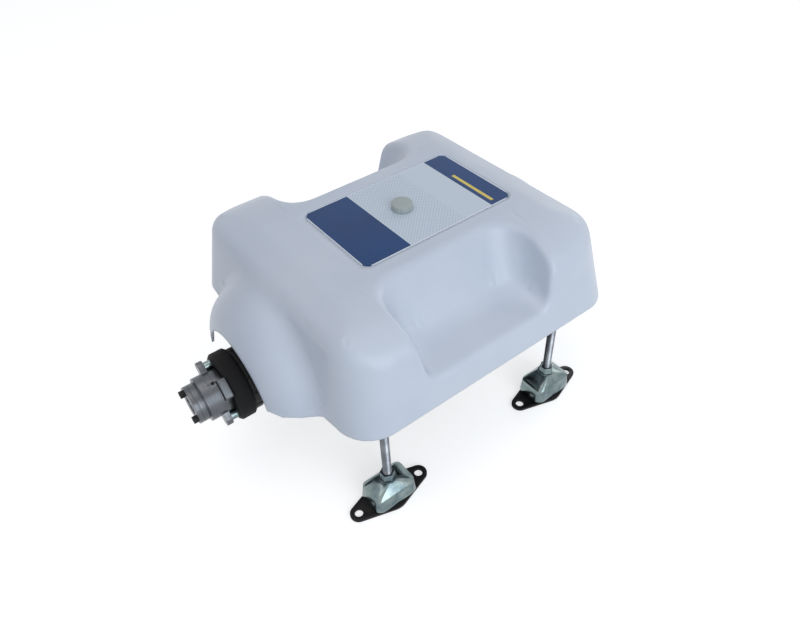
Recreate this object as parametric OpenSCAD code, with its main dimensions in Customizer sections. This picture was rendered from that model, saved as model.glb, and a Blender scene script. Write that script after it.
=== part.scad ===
/* [Cover] */
// Width of the cover over its rim
cover_w = 425; // [415:1:440]
// Length of the cover over its rim, without the two noses
cover_l = 435.4; // [425:1:450]
// Height of the rim above the floor
rim_z = 160; // [156:1:164]
// Height of the cover, rim to plateau
cover_h = 126.7; // [122:0.1:136]
// Wall of the moulding
cover_wall = 3.6; // [2.6:0.1:4.4]
// Draft of the two sides
side_draft = 10; // [8:0.5:12]
// Draft of the two ends
end_draft = 8; // [6:0.5:10]
// Corner radius at the rim
corner_r = 50; // [44:1:56]
// Blend between the walls and the shoulders
edge_blend = 15; // [12:1:18]
// Slope of the side shoulders
side_slope = 26; // [24:1:28]
// Half width at which the side shoulders start
side_slope_x = 143; // [140:1:147]
// Slope of the end shoulders
end_slope = 18.5; // [16:0.5:20]
// Half length at which the end shoulders start
end_slope_y = 160; // [156:1:164]
// Blend along the plateau's edges
slope_blend = 3; // [2:0.5:4]
// Half width of the plateau's flat middle
flat_hw = 88; // [85:1:92]
// Fall of the plateau from its flat middle to the side shoulders
crown_drop = 4.5; // [3:0.5:6]

/* [Noses] */
// Depth of the nose arches' axis below the shaft
nose_drop = 9.5; // [6:0.5:13]
// Radius of the nose arches
nose_r = 126; // [122:1:130]
// Radius of their rounded front edge
nose_round = 60; // [54:1:66]
// Radius of the arched openings
nose_open_r = 80; // [74:1:84]
// Reach of the front nose from the cover's middle
nose_front = 268; // [264:1:274]
// Reach of the rear nose from the cover's middle
nose_rear = 256; // [252:1:262]
// Height of the arches' lower edges
nose_rim_z = 149; // [147:1:152]
// Fillet between noses and end walls
nose_fillet = 20; // [17:1:23]

/* [Hand recesses] */
// Offset of the right recess along the cover, the left one is turned by half a turn
recess_y = -8; // [-11:1:-4]
// Half length of a recess at its floor
recess_hl = 98; // [94:1:101]
// Draft of a recess's ends
recess_end_draft = 9; // [7:0.5:11]
// Half width left between the recesses, at the plateau
recess_top_x = 103; // [101:1:105]
// Lean of a recess's inner wall
recess_lean = 25.5; // [23:0.5:27]
// Height of a recess's floor at its outer edge
recess_floor_z = 198; // [196:0.5:201]
// Rise of the floor towards the inner wall
recess_floor_slope = 6.2; // [5:0.1:7.5]
// Blend between inner wall and ends
recess_corner_blend = 45; // [40:1:50]
// Blend between walls and floor
recess_floor_blend = 20; // [17:1:23]
// Blend along a recess's edge
recess_lip_blend = 9; // [7:0.5:11]

/* [Label and knob] */
// Width of the label plate
label_w = 147.4; // [143:0.1:149]
// Front end of the label plate
label_front = -100.2; // [-104:0.1:-97]
// Rear end of the label plate
label_rear = 142.9; // [139:0.1:146]
// Corner radius of the label plate
label_r = 14; // [12:0.5:16]
// Thickness of the label plate
label_t = 1; // [0.8:0.1:1.1]
// Depth of the label's pocket
pocket_depth = 1.2; // [1.1:0.1:1.4]
// Gap round the label in its pocket
pocket_gap = 3; // [2:0.5:4]
// Place of the knob along the cover
knob_y = 11; // [6:1:16]
// Diameter of the knob
knob_d = 29.5; // [24:0.5:34]
// Height of the knob
knob_h = 9; // [7:0.5:12]
// Diameter of the knob's screw
knob_screw_d = 6; // [5:0.5:7]
// Length of the screw inside the post
knob_screw_bite = 18; // [12:1:24]

/* [Mounts] */
// Spacing of the studs across the motor
mount_span_x = 373.6; // [368:0.1:378]
// Spacing of the studs along the motor
mount_span_y = 294.4; // [288:0.1:300]
// Middle of the studs along the cover
mount_mid_y = -20.7; // [-24:0.1:-18]
// Spacing of a foot's two fixing holes
foot_hole_span = 100; // [94:1:106]
// Diameter of the fixing holes
foot_hole_d = 11.5; // [9:0.5:13]
// Radius of the foot plate's ends
foot_end_r = 12; // [10:0.5:14]
// Width of the foot plate
foot_w = 54; // [48:1:60]
// Thickness of the foot plate
foot_t = 4; // [3:0.5:5]
// Width of the pressed cap's skirt, across the motor
cap_w = 46; // [42:1:50]
// Length of the pressed cap's skirt, along the motor
cap_l = 68; // [64:1:72]
// Width of the cap's shoulder
cap_top_w = 41; // [38:1:44]
// Length of the cap's shoulder
cap_top_l = 62; // [58:1:66]
// Height of the cap's skirt above the floor
cap_z = 8; // [7:0.5:9]
// Height of the cap's shoulder above the floor
cap_shoulder_z = 28; // [26:1:31]
// Height of the cap's top above the floor
cap_top_z = 41; // [38:1:44]
// Sheet of the pressed cap
cap_sheet = 2; // [1.5:0.1:2.5]
// Diameter of the studs
stud_d = 12; // [10:1:14]
// Height of the studs' tips
stud_top_z = 205; // [203:1:208]

/* [Frame] */
// Height of the rails' underside
rail_z = 176; // [173:0.5:177]
// Thickness of the rails' flange
rail_t = 8; // [6:0.5:9]
// Length of the rails
rail_l = 376; // [370:1:380]
// Reach of the flange outside the studs
rail_out = 14.2; // [13:0.1:16]
// Reach of the rails inside the studs
rail_in = 36.8; // [32:0.1:42]
// Thickness of the rails' web
web_t = 12; // [10:0.5:14]
// Height of the rails' web below the flange
web_h = 52; // [46:1:58]
// Corner radius of the flange
rail_r = 20; // [18:1:24]
// Thickness of the cross plates
plate_t = 10; // [8:0.5:12]
// Depth of the front plate below the shaft
plate_low = 77; // [72:1:79]
// Diameter of the screws that join plates and rails
frame_screw_d = 6; // [5:0.5:8]

/* [Motor] */
// Height of the shaft above the floor
shaft_z = 139.5; // [136:0.5:142]
// Front face of the front plate
front_plate_y = -160; // [-163:1:-158]
// Radius over the housing's fins
motor_r = 96; // [92:1:98]
// Bore radius of the housing
motor_bore_r = 82; // [79:1:83]
// Wall of the housing under the fins
motor_wall = 5; // [4:0.5:7]
// Length of the housing between the end bells
motor_l = 148; // [140:1:150]
// Depth of each end bell
bell_l = 18; // [18:0.5:20]
// Height of the terminal land above the shaft
land_h = 97; // [96:0.5:99]
// Bore radius of the stator
stator_bore_r = 54; // [51:1:56]
// Length of the stator core
stator_l = 100; // [90:1:104]
// Air gap between magnets and stator
air_gap = 1; // [0.6:0.1:1.4]
// Thickness of the magnets
magnet_t = 7; // [5:0.5:8]

/* [Shaft and bearings] */
// Diameter of the shaft at the front bearings
shaft_d = 35; // [32:1:38]
// Diameter of the shaft through the rotor
rotor_seat_d = 44; // [42:1:48]
// Diameter of the shaft at the rear bearing
rear_seat_d = 30; // [27:1:32]
// Outside diameter of the front bearings
front_bearing_d = 72; // [70:1:74]
// Width of the front bearings
front_bearing_w = 17; // [15:0.5:17.5]
// Outside diameter of the rear bearing
rear_bearing_d = 62; // [60:1:64]
// Width of the rear bearing
rear_bearing_w = 16; // [14:0.5:16.5]
// Length of the thrust housing in front of the plate
thrust_l = 84; // [80:1:86]
// Outside diameter of the thrust housing
thrust_d = 88; // [84:1:90]
// Diameter of the thrust housing's flange
thrust_flange_d = 130; // [124:1:140]
// Diameter of the fan
fan_d = 124; // [116:1:126]
// Width of the fan
fan_w = 12; // [10:0.5:13]
// Diameter of the fan's cowl
cowl_d = 166; // [163:1:170]
// Depth of the fan's cowl
cowl_l = 20; // [18:0.5:21]

/* [Coupling] */
// Diameter of the drive flange
flange_d = 88; // [84:1:92]
// Thickness of the drive flange
flange_t = 10; // [8:0.5:12]
// Length of the drive flange's boss
flange_boss_l = 9; // [6:0.5:9.5]
// Diameter of the rubber disc
disc_d = 96; // [92:1:100]
// Thickness of the rubber disc
disc_t = 23; // [20:0.5:25]
// Diameter of the coupling's bolt circle
bolt_circle_d = 71.5; // [68:0.5:74]
// Diameter of the coupling's bolts
coupling_bolt_d = 8; // [6:0.5:9]
// Diameter of the bright spacers
spacer_d = 13; // [11:0.5:14]
// Length of the bright spacers
spacer_l = 10; // [9:0.5:12]
// Thickness of the bolted ears
ear_t = 8; // [6:0.5:9]
// Width of the two blunt ears
lug_w = 28; // [24:1:31]
// Thickness of the two blunt ears
lug_t = 10; // [8:0.5:11]
// Length of the hub
hub_l = 47; // [44:1:52]
// Diameter of the hub's body
hub_d = 61; // [58:0.5:63]
// Diameter of the hub's collar
collar_d = 52; // [49:0.5:54]
// Length of the hub's collar
collar_l = 15; // [12:0.5:18]
// Bore of the hub for the propeller shaft
hub_bore_d = 25; // [20:0.5:28]
// Depth of the hub's bore
hub_bore_l = 40; // [34:1:43]
// Diameter of the two clamp screws' heads
clamp_head_d = 10; // [8:0.5:11]
// Height of the two clamp screws' heads
clamp_head_h = 6; // [5:0.5:7]

/* [Controller] */
// Width of the controller
ctrl_w = 200; // [190:1:206]
// Length of the controller
ctrl_l = 108; // [102:1:110]
// Height of the controller's housing
ctrl_h = 44; // [40:1:48]
// Thickness of the controller's base
ctrl_base_t = 8; // [6:0.5:10]
// Gap between the fan's cowl and the tray
ctrl_gap = 2; // [1:0.5:4]
// Sheet of the tray
tray_t = 4; // [3:0.5:4.5]
// Spacing of the three phase bars
bar_pitch = 15; // [14:0.5:16]
// Width of the phase bars
bar_w = 11; // [9:0.5:12]
// Thickness of the phase bars
bar_t = 3; // [2:0.5:4]

/* [Hidden] */
$fn = 64;

// Clearances and the overrun of every cut
run_fit = 0.05;
seat_gap = 0.3;
bore_gap = 0.25;
over = 1;
facets = 24;
ball_facets = 32;

// Screw heads, nuts and washers follow the thread: head and nut sizes as shares of its diameter
head_share = 1.6;
head_h_share = 1;
nut_share = 1.7;
nut_h_share = 0.83;
washer_share = 2;
washer_t_share = 0.2;
socket_share = 0.85;
socket_h_share = 0.5;

// Heights and half sizes of the cover
top_z = rim_z + cover_h;
half_w = cover_w / 2;
half_l = cover_l / 2;
nose_z = shaft_z - nose_drop;
pocket_z = top_z - pocket_depth;
inside_z = top_z - cover_wall;

// Places along the shaft, front to rear
thrust_y = front_plate_y - thrust_l;
boss_gap = 3;
boss_y = thrust_y - boss_gap - flange_boss_l;
flange_y = boss_y - flange_t;
disc_y = flange_y - disc_t;
ear_y = disc_y - spacer_l - ear_t;
lug_gap = 1;
lug_y = disc_y - lug_gap - lug_t;
hub_y = disc_y - hub_l;
tip_y = hub_y - clamp_head_h;
front_bell_y = front_plate_y + plate_t;
housing_y = front_bell_y + bell_l;
rear_bell_y = housing_y + motor_l;
rear_plate_y = rear_bell_y + bell_l;
cowl_y = rear_plate_y + plate_t;
tray_y = cowl_y + cowl_l + ctrl_gap;
bolt_r = bolt_circle_d / 2;

// Places of the frame
stud_x = mount_span_x / 2;
stud_ys = [mount_mid_y - mount_span_y / 2, mount_mid_y + mount_span_y / 2];
web_x = stud_x - rail_in;
rail_top = rail_z + rail_t;
tray_top = rail_top + tray_t;
post_z = shaft_z + land_h;
shaft_r = shaft_d / 2;
thrust_r = thrust_d / 2;

// The part stands with the middle of its length over the origin
module at_frame() {
    translate([0, -(tip_y + nose_rear) / 2, 0]) children();
}

// A flat outline in the XZ plane about the shaft, drawn out along +Y
module slab(y, l) {
    translate([0, y + l, shaft_z]) rotate([90, 0, 0]) linear_extrude(l) children();
}

module barrel(r, y, l) {
    slab(y, l) circle(r);
}

// Turned about the shaft by an angle from +X towards +Z
module turned(a) {
    translate([0, 0, shaft_z]) rotate([0, -a, 0]) translate([0, 0, -shaft_z]) children();
}

module pin_y(d, x, y, z, l) {
    translate([x, y + l, z]) rotate([90, 0, 0]) cylinder(d = d, h = l);
}

// A rounded rectangle with true arcs
module rounded(w, h, r) {
    square([w - 2 * r, h], center = true);
    square([w, h - 2 * r], center = true);
    for (x = [-1, 1], y = [-1, 1]) translate([x * (w / 2 - r), y * (h / 2 - r)]) circle(r);
}

module hex_nut(d) {
    difference() {
        cylinder(d = d * nut_share, h = d * nut_h_share, $fn = 6);
        translate([0, 0, -over]) cylinder(d = d + bore_gap, h = d * nut_h_share + 2 * over);
    }
}

module washer(d) {
    difference() {
        cylinder(d = d * washer_share, h = d * washer_t_share);
        translate([0, 0, -over]) cylinder(d = d + bore_gap, h = d * washer_t_share + 2 * over);
    }
}

// A socket head screw along +Z, its head's underside at zero
module socket_screw(d, l) {
    difference() {
        union() {
            translate([0, 0, -d * head_h_share]) cylinder(d = d * head_share, h = d * head_h_share);
            cylinder(d = d, h = l);
        }
        translate([0, 0, -d * head_h_share - over])
            cylinder(d = d * socket_share, h = d * socket_h_share + over, $fn = 6);
    }
}

// Smooth greatest and least of two distances, k wide
function smax(a, b, k) = max(a, b) + pow(max(k - abs(a - b), 0), 2) / (4 * k);
function smin(a, b, k) = -smax(-a, -b, k);
function mix(a, b, t) = a + (b - a) * t;
function rounded_box(x, y, hx, hy, r) =
    let (qx = abs(x) - hx + r, qy = abs(y) - hy + r)
    min(max(qx, qy), 0) + norm([max(qx, 0), max(qy, 0)]) - r;

// The cover's outside as one signed distance: walls with draft, a crowned roof with sloped
// shoulders, two hand recesses cut in, two noses blended on
function body_field(p) =
    let (rise = p.z - rim_z, inset = rise * tan(side_draft),
         wall = rounded_box(p.x, p.y, half_w - inset, half_l - rise * tan(end_draft),
                            corner_r + inset / 2) * cos(side_draft),
         ax = abs(p.x), down = p.z - top_z,
         crown = crown_drop * pow(max(ax - flat_hw, 0) / (side_slope_x - flat_hw), 2),
         side = (ax - side_slope_x) * sin(side_slope) + down * cos(side_slope),
         end = (abs(p.y) - end_slope_y) * sin(end_slope) + down * cos(end_slope),
         roof = smax(smax(side, end, 2 * slope_blend), down + crown, slope_blend))
    smax(wall, roof, edge_blend);
function recess_field(p, side) =
    let (ax = abs(p.x), rise = p.z - recess_floor_z,
         inner = (recess_top_x + (top_z - p.z) * tan(recess_lean) - ax) * cos(recess_lean),
         bed = (half_w - ax) * tan(recess_floor_slope) - rise,
         end = abs(p.y - side * recess_y) - recess_hl - rise * tan(recess_end_draft))
    smax(smax(inner, end * cos(recess_end_draft), recess_corner_blend), bed, recess_floor_blend);
function nose_field(p) =
    let (reach = p.y < 0 ? nose_front : nose_rear,
         qr = norm([p.x, p.z - nose_z]) - nose_r + nose_round, qy = abs(p.y) - reach + nose_round)
    min(max(qr, qy), 0) + norm([max(qr, 0), max(qy, 0)]) - nose_round;
function field(p, side) =
    smin(smax(body_field(p), -recess_field(p, side), recess_lip_blend), nose_field(p), nose_fillet);
nip = 0.05;
function slope_of(p, side) =
    [field(p + [nip, 0, 0], side) - field(p - [nip, 0, 0], side),
     field(p + [0, nip, 0], side) - field(p - [0, nip, 0], side),
     field(p + [0, 0, nip], side) - field(p - [0, 0, nip], side)] / (2 * nip);
function masked(a, b) = [a.x * b.x, a.y * b.y, a.z * b.z];
// Newton steps that bring a point onto the surface at a level, along its free directions
function settle(p, free, level, side, n) =
    n == 0 ? p :
    let (g = masked(slope_of(p, side), free))
    settle(p - g * (field(p, side) - level) / max(g * g, 0.05), free, level, side, n - 1);

// Rings that run round the cover from the rim to the label's pocket, by number:
// the noses' end, the recesses' lip, the nose fillet's end, the recess floor's end,
// the top of the walls, the plateau's edge, the pocket's margin, edge and floor
nose_ring = 6;
lip_ring = 7;
fillet_ring = 9;
floor_ring = 12;
wall_ring = 13;
roof_ring = 18;
margin_ring = 20;
edge_ring = 21;
last_ring = 22;
margin_in = 2;
margin_r = 10;
pocket_taper = 0.6;
ring_reach = 10;
lip_r = 7;
lip_rise = 1;
floor_rise = [6, 8, 16];
floor_in = [7, 3, 7];
lean_in = 4;
lean_down = 8;
roof_corner_r = 26;
pocket_w = label_w / 2 + pocket_gap;
pocket_front = -label_front + pocket_gap;
pocket_rear = label_rear + pocket_gap;
pocket_r = label_r + pocket_gap;
tan_side = tan(side_slope);
tan_end = tan(end_slope);
tan_sd = tan(side_draft);
tan_ed = tan(end_draft);
side_h = (cover_h - (half_w - side_slope_x) * tan_side) / (1 - tan_sd * tan_side);
end_h = (cover_h - (half_l - end_slope_y) * tan_end) / (1 - tan_ed * tan_end);
side_x = half_w - side_h * tan_sd;
side_z = rim_z + side_h;
end_y = half_l - end_h * tan_ed;
end_z = rim_z + end_h;
lip_x = half_w - (recess_floor_z - rim_z) * tan_sd;
foot_x = recess_top_x + (top_z - recess_floor_z) * tan(recess_lean);
nose_ring_h = 40;
fillet_ring_h = 62;

// Ring paths as [ring, distance out, height] on plain sides, recess middles and ends
margin_x = flat_hw - margin_in;
margin_y = end_slope_y - 4 * slope_blend;
function onto_pocket(out, edge) =
    [[margin_ring, out, top_z], [edge_ring, edge, top_z], [last_ring, edge - pocket_taper, pocket_z]];
side_path = concat([[0, half_w, rim_z], [lip_ring, lip_x, recess_floor_z],
    [wall_ring - 2, side_x + ring_reach * tan_sd, side_z - ring_reach], [wall_ring, side_x, side_z],
    [wall_ring + 2, side_x - ring_reach, side_z + ring_reach * tan_side],
    [roof_ring, side_slope_x, top_z - crown_drop]], onto_pocket(margin_x, pocket_w));
recess_path = concat([[0, half_w, rim_z], [lip_ring - 1, lip_x + lip_rise, recess_floor_z - lip_r],
    [lip_ring, lip_x, recess_floor_z], [lip_ring + 1, lip_x - lip_r, recess_floor_z + lip_rise],
    [floor_ring - 1, foot_x + floor_in[0], recess_floor_z + floor_rise[0]],
    [floor_ring, foot_x - floor_in[1], recess_floor_z + floor_rise[1]],
    [floor_ring + 1, foot_x - floor_in[2], recess_floor_z + floor_rise[2]],
    [roof_ring - 2, recess_top_x + lean_in, top_z - lean_down], [roof_ring, recess_top_x, top_z]],
    onto_pocket(margin_x, pocket_w));
function end_path(d) = concat([[0, half_l, rim_z],
    [nose_ring, half_l - nose_ring_h * tan_ed, rim_z + nose_ring_h],
    [fillet_ring, half_l - fillet_ring_h * tan_ed, rim_z + fillet_ring_h],
    [wall_ring - 2, end_y + ring_reach * tan_ed, end_z - ring_reach], [wall_ring, end_y, end_z],
    [wall_ring + 2, end_y - ring_reach, end_z + ring_reach * tan_end], [roof_ring, end_slope_y, top_z]],
    onto_pocket(margin_y, d < 0 ? pocket_front : pocket_rear));
corner_rs = [[0, corner_r], [wall_ring, corner_r + side_h * tan_sd / 2], [roof_ring, roof_corner_r],
    [margin_ring, margin_r], [edge_ring, pocket_r], [last_ring, pocket_r - pocket_taper]];
function along(path, j) = [lookup(j, [for (q = path) [q.x, q.y]]), lookup(j, [for (q = path) [q.x, q.z]])];

// Stations along half a ring: arch, foot and flat of an end, a corner, a side, and back
arch_n = 8;
foot_n = 4;
end_n = arch_n + foot_n + 1;
corner_n = 6;
middle_shares = [0, 0.3, 0.6, 0.85];
wall_shares = [0, 0.13, 0.26, 0.38, 0.5, 0.7, 0.86, 1];
middle_n = len(middle_shares);
wall_n = len(wall_shares);
side_n = 2 * (middle_n + wall_n + 1);
half_n = 2 * end_n + 2 * corner_n + side_n;
arc_share = 0.75;
arch_low = 30;
arch_high = 36;
fillet_out = 11;
open_turn = asin((nose_open_r - nose_r + nose_round) / nose_round);
function wall_y(z) = half_l - (z - rim_z) * tan_ed;
function nose_turn(reach) =
    min(82, acos(((half_l + wall_y(nose_z + nose_r)) / 2 - reach + nose_round) / nose_round) - 6);
// Distance from the arch's axis and along it, from the opening (0) over the edge to the wall (1)
function nose_profile(t, reach) =
    t < arc_share ?
        let (a = mix(open_turn, nose_turn(reach), t / arc_share))
        [nose_r - nose_round + nose_round * sin(a), reach - nose_round + nose_round * cos(a)] :
        let (u = (t - arc_share) / (1 - arc_share) * 90, a = nose_profile(arc_share - 0.0001, reach))
        [mix(a.x, nose_r + fillet_out, 1 - cos(u)), mix(a.y, half_l, sin(u))];
function nose_pt(k, j, d) =
    let (reach = d < 0 ? nose_front : nose_rear, t = j / nose_ring,
         q = nose_profile(arc_share * t, reach),
         low = asin((nose_rim_z - nose_z) / nose_open_r), turn = mix(low, arch_low, t),
         e = along(end_path(d), j), x1 = along(side_path, j).x - lookup(j, corner_rs))
    k <= arch_n ? let (a = mix(90, turn, k / arch_n)) [q.x * cos(a), d * q.y, nose_z + q.x * sin(a)] :
    k == end_n ? [x1, d * e.x, e.y] :
    let (m = (k - arch_n) / (end_n - arch_n),
         w = nose_profile(mix(arc_share * t, 1, min((k - arch_n) / foot_n, 1)), reach),
         z = mix(nose_z + q.x * sin(turn), e.y, m * m),
         x = sqrt(w.x * w.x - (z - nose_z) * (z - nose_z)))
    [min(x, mix(x, x1, m * m)), d * w.y, z];
function fillet_end(k, d) =
    let (r = nose_r + fillet_out, e = along(end_path(d), fillet_ring),
         x1 = along(side_path, fillet_ring).x - lookup(fillet_ring, corner_rs),
         a = mix(90, arch_high, min(k / arch_n, 1)),
         c = [r * cos(a), nose_z + r * sin(a)],
         q = k <= arch_n ? c : mix(c, [x1, e.y], (k - arch_n) / (end_n - arch_n)))
    [q.x, d * wall_y(q.y), q.y];
function fillet_pt(k, u, d) =
    let (a = nose_pt(k, nose_ring, d), b = fillet_end(k, d))
    [mix(a.x, b.x, 1 - cos(90 * u)), mix(a.y, b.y, sin(90 * u)), mix(a.z, b.z, 1 - cos(90 * u))];
// Over the arches the top of the wall is drawn in, clear of the nose's fillet
draw_in = [[wall_ring, 5], [wall_ring + 1, 3], [wall_ring + 2, 1], [wall_ring + 3, 0]];
function drawn_in(k, j) = lookup(j, draw_in) * min((end_n - k) / (end_n - arch_n), 1);
function end_pt(k, j, d) =
    let (in = drawn_in(k, j), e = along(end_path(d), j) + in * [-1, tan_end],
         x1 = along(side_path, j).x - lookup(j, corner_rs), top = drawn_in(k, wall_ring))
    k == end_n ? [x1, d * e.x, e.y] :
    j <= nose_ring ? nose_pt(k, j, d) :
    j <= fillet_ring ? fillet_pt(k, (j - nose_ring) / (fillet_ring - nose_ring), d) :
    j >= wall_ring ? [x1 * k / end_n, d * e.x, e.y] :
    mix(fillet_end(k, d), [(side_x - lookup(wall_ring, corner_rs)) * k / end_n,
        d * (end_y - top), end_z + top * tan_end], (j - fillet_ring) / (wall_ring - fillet_ring));
function corner_pt(a, j, d) =
    let (s = along(side_path, j), e = along(end_path(d), j), r = lookup(j, corner_rs),
         t = j <= margin_ring ? a : mix(pocket_turn, 90, a / 90))
    [s.x - r + r * cos(t), d * (e.x - r + r * sin(t)), mix(s.y, e.y, a / 90)];
function recess_end(z) = recess_hl + (z - recess_floor_z) * tan(recess_end_draft);
plan_r = 34;
plan_r_low = 16;
plan_share = 0.8;
past_recess = 20;
past_corner = 4;
flare_y = 8;
flare_z = [[5, 0], [6, 4], [7, 9], [8, 6], [9, 2], [10, 0]];
margin_share = 0.8;
pocket_turn = 40;
around = 8;
beside = 16;
spread = 0.6;
function wall_share(m) = m < middle_n ? 0 : wall_shares[min(m - middle_n, wall_n - 1)];
// Station i of a side, counted from the recess's middle
function side_pt(i, j, side) =
    let (m = abs(i), s = sign(i), o = along(side_path, j), n = along(recess_path, j),
         rx = max(min(plan_r, plan_share * (o.x - n.x)), 0), ry = max(rx, plan_r_low),
         e = wall_share(m), f = min(e * 2, 1), g = max(e - 0.5, 0) * 2, out = max(g * 2 - 1, 0),
         x = mix(n.x + rx * (1 - cos(90 * f)), o.x, g),
         h = abs(o.x - n.x) < lip_rise ? e : min(max((x - n.x) / (o.x - n.x), 0), 1),
         z = mix(n.y, o.y, h), reach = along(end_path(s), j).x - lookup(j, corner_rs),
         q = m < middle_n ? [n.x, (recess_end(n.y) - ry) * middle_shares[m], n.y] :
             m == middle_n + wall_n ?
                 [o.x, min(recess_end(o.y) + past_recess, reach - past_corner - s * side * recess_y), o.y] :
             [x, recess_end(z) - ry * (1 - sin(90 * f)) + flare_y * out,
              z + lookup(j, flare_z) * (1 - cos(90 * f)) * (1 - out)],
         t = (m - middle_n) / wall_n, r = lookup(j, corner_rs), turn = pocket_turn * max(2 * t - 1, 0),
         edge = m < middle_n ? [q.x, reach * margin_share * middle_shares[m]] :
                [q.x - r + r * cos(turn), reach * mix(margin_share, 1, min(2 * t, 1)) + r * sin(turn)])
    j > margin_ring ? [edge.x, s * edge.y, q.z] :
    j == margin_ring ? [q.x, side * recess_y + s * (m < middle_n ? q.y :
        mix(recess_end(top_z) - ry, recess_end(top_z) + beside, pow(t, spread))), q.z] :
    [q.x, side * recess_y + s * q.y, q.z];
function ring_pt(s, j, side) =
    s <= end_n ? end_pt(s, j, -1) :
    s <= end_n + corner_n ? corner_pt(90 * (end_n + corner_n - s) / corner_n, j, -1) :
    s < end_n + corner_n + side_n ? side_pt(s - end_n - corner_n - side_n / 2, j, side) :
    s <= end_n + 2 * corner_n + side_n ? corner_pt(90 * (s - end_n - corner_n - side_n) / corner_n, j, 1) :
    end_pt(half_n - s, j, 1);
// Between the plateau's edge and the margin the ring keeps clear round each recess
between_share = 0.4;
turn_back = 60;
function draft_pt(s, j, side) =
    let (i = s - end_n - corner_n - side_n / 2, e = 2 * wall_share(abs(i)),
         turn = 90 * min(e, 1) - turn_back * max(e - 1, 0))
    j <= roof_ring || j >= margin_ring ? ring_pt(s, j, side) :
    abs(i) < middle_n + wall_n ?
        side_pt(i, roof_ring, side) + around * [-cos(turn), sign(i) * sin(turn), 0] :
    mix(ring_pt(s, roof_ring, side), ring_pt(s, margin_ring, side), between_share);
function free_dirs(s, j) =
    j > 0 ? [1, 1, 1] : min(s, half_n - s) <= arch_n ? [0, 1, 0] : [1, 1, 0];
settle_n = 6;
function outer_pt(s, j, side) =
    let (p = draft_pt(s, j, side))
    j >= margin_ring ? p : settle(p, free_dirs(s, j), 0, side, settle_n);
function inner_pt(s, j, side) =
    j >= margin_ring ? draft_pt(s, margin_ring, side) - [0, 0, cover_wall] :
    let (p = outer_pt(s, j, side), f = free_dirs(s, j), g = masked(slope_of(p, side), f))
    settle(p - g * (cover_wall / norm(g)), f, -cover_wall, side, settle_n - 1);
inner_rings = [0, 2, 4, 6, 7, 8, 10, 12, 13, 15, 17, 18, 20];

// The screw's hole, one point for each station, seen in its direction from the knob
function hole_ring(ring, z) = [for (p = ring)
    let (d = [p.x, p.y - knob_y]) [0, knob_y, z] + concat(d / norm(d) * (bush_d / 2 + bore_gap), [0])];

// Both halves of a ring: the left one is worked out as if on the right, then mirrored
module cover_shell() {
    ring_n = 2 * half_n;
    skins = concat(
        [for (i = [len(inner_rings) - 1:-1:0]) let (j = inner_rings[i])
            concat([for (s = [0:half_n]) inner_pt(s, j, 1)],
                   [for (s = [half_n - 1:-1:1]) masked(inner_pt(s, j, -1), [-1, 1, 1])])],
        [for (j = [0:last_ring])
            concat([for (s = [0:half_n]) outer_pt(s, j, 1)],
                   [for (s = [half_n - 1:-1:1]) masked(outer_pt(s, j, -1), [-1, 1, 1])])]);
    rings = concat(skins, [for (z = [pocket_z, inside_z]) hole_ring(skins[len(skins) - 1], z)]);
    pts = [for (r = rings) for (p = r) p];
    faces = [for (i = [0:len(rings) - 1], s = [0:ring_n - 1])
        let (j = (i + 1) % len(rings), t = (s + 1) % ring_n,
             a = i * ring_n + s, b = i * ring_n + t, c = j * ring_n + s, d = j * ring_n + t)
        each (norm(pts[a] - pts[d]) < norm(pts[b] - pts[c]) ?
            [[a, d, b], [a, c, d]] : [[a, c, b], [b, c, d]])];
    polyhedron(points = pts, faces = faces);
}

bush_d = 12;
bush_flange_d = 18;
bush_flange_t = 1.5;
module cover() color([0.72, 0.78, 0.86]) at_frame() cover_shell();

module label_plate() color([0.06, 0.24, 0.45]) at_frame() difference() {
    translate([0, (label_front + label_rear) / 2, pocket_z]) linear_extrude(label_t)
        rounded(label_w, label_rear - label_front, label_r);
    translate([0, knob_y, pocket_z - over])
        cylinder(d = knob_screw_d + 2 * bore_gap, h = label_t + 2 * over);
}

knob_z = pocket_z + label_t + seat_gap;
knob_grips = 8;
knob_chamfer = 1.2;
knob_grip_d = 3;
knob_flange_h = 2.5;
module knob() color([0.67, 0.7, 0.69]) at_frame() translate([0, knob_y, knob_z]) difference() {
    rotate_extrude() polygon([[0, 0], [knob_d / 2 - knob_chamfer / 2, 0], [knob_d / 2, knob_chamfer / 2],
        [knob_d / 2, knob_h - knob_chamfer], [knob_d / 2 - knob_chamfer, knob_h], [0, knob_h]]);
    for (i = [0:knob_grips - 1]) rotate([0, 0, i * 360 / knob_grips])
        translate([knob_d / 2 + knob_grip_d / 4, 0, knob_flange_h]) cylinder(d = knob_grip_d, h = knob_h);
    translate([0, 0, -over]) cylinder(d = knob_screw_d + run_fit, h = knob_h / 2 + over);
}

post_top = inside_z - bush_flange_t - seat_gap;
module knob_screw() color([0.75, 0.76, 0.78]) at_frame()
    translate([0, knob_y, post_top - knob_screw_bite])
        cylinder(d = knob_screw_d, h = knob_z + knob_h / 2 - post_top + knob_screw_bite - run_fit);

module knob_bush() color([0.8, 0.7, 0.4]) at_frame() translate([0, knob_y, 0]) difference() {
    union() {
        translate([0, 0, inside_z - bush_flange_t]) cylinder(d = bush_flange_d, h = bush_flange_t);
        translate([0, 0, inside_z - over]) cylinder(d = bush_d, h = pocket_z - inside_z + over);
    }
    translate([0, 0, inside_z - bush_flange_t - over])
        cylinder(d = knob_screw_d + 2 * run_fit, h = cover_wall + bush_flange_t + 2 * over);
}

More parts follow.
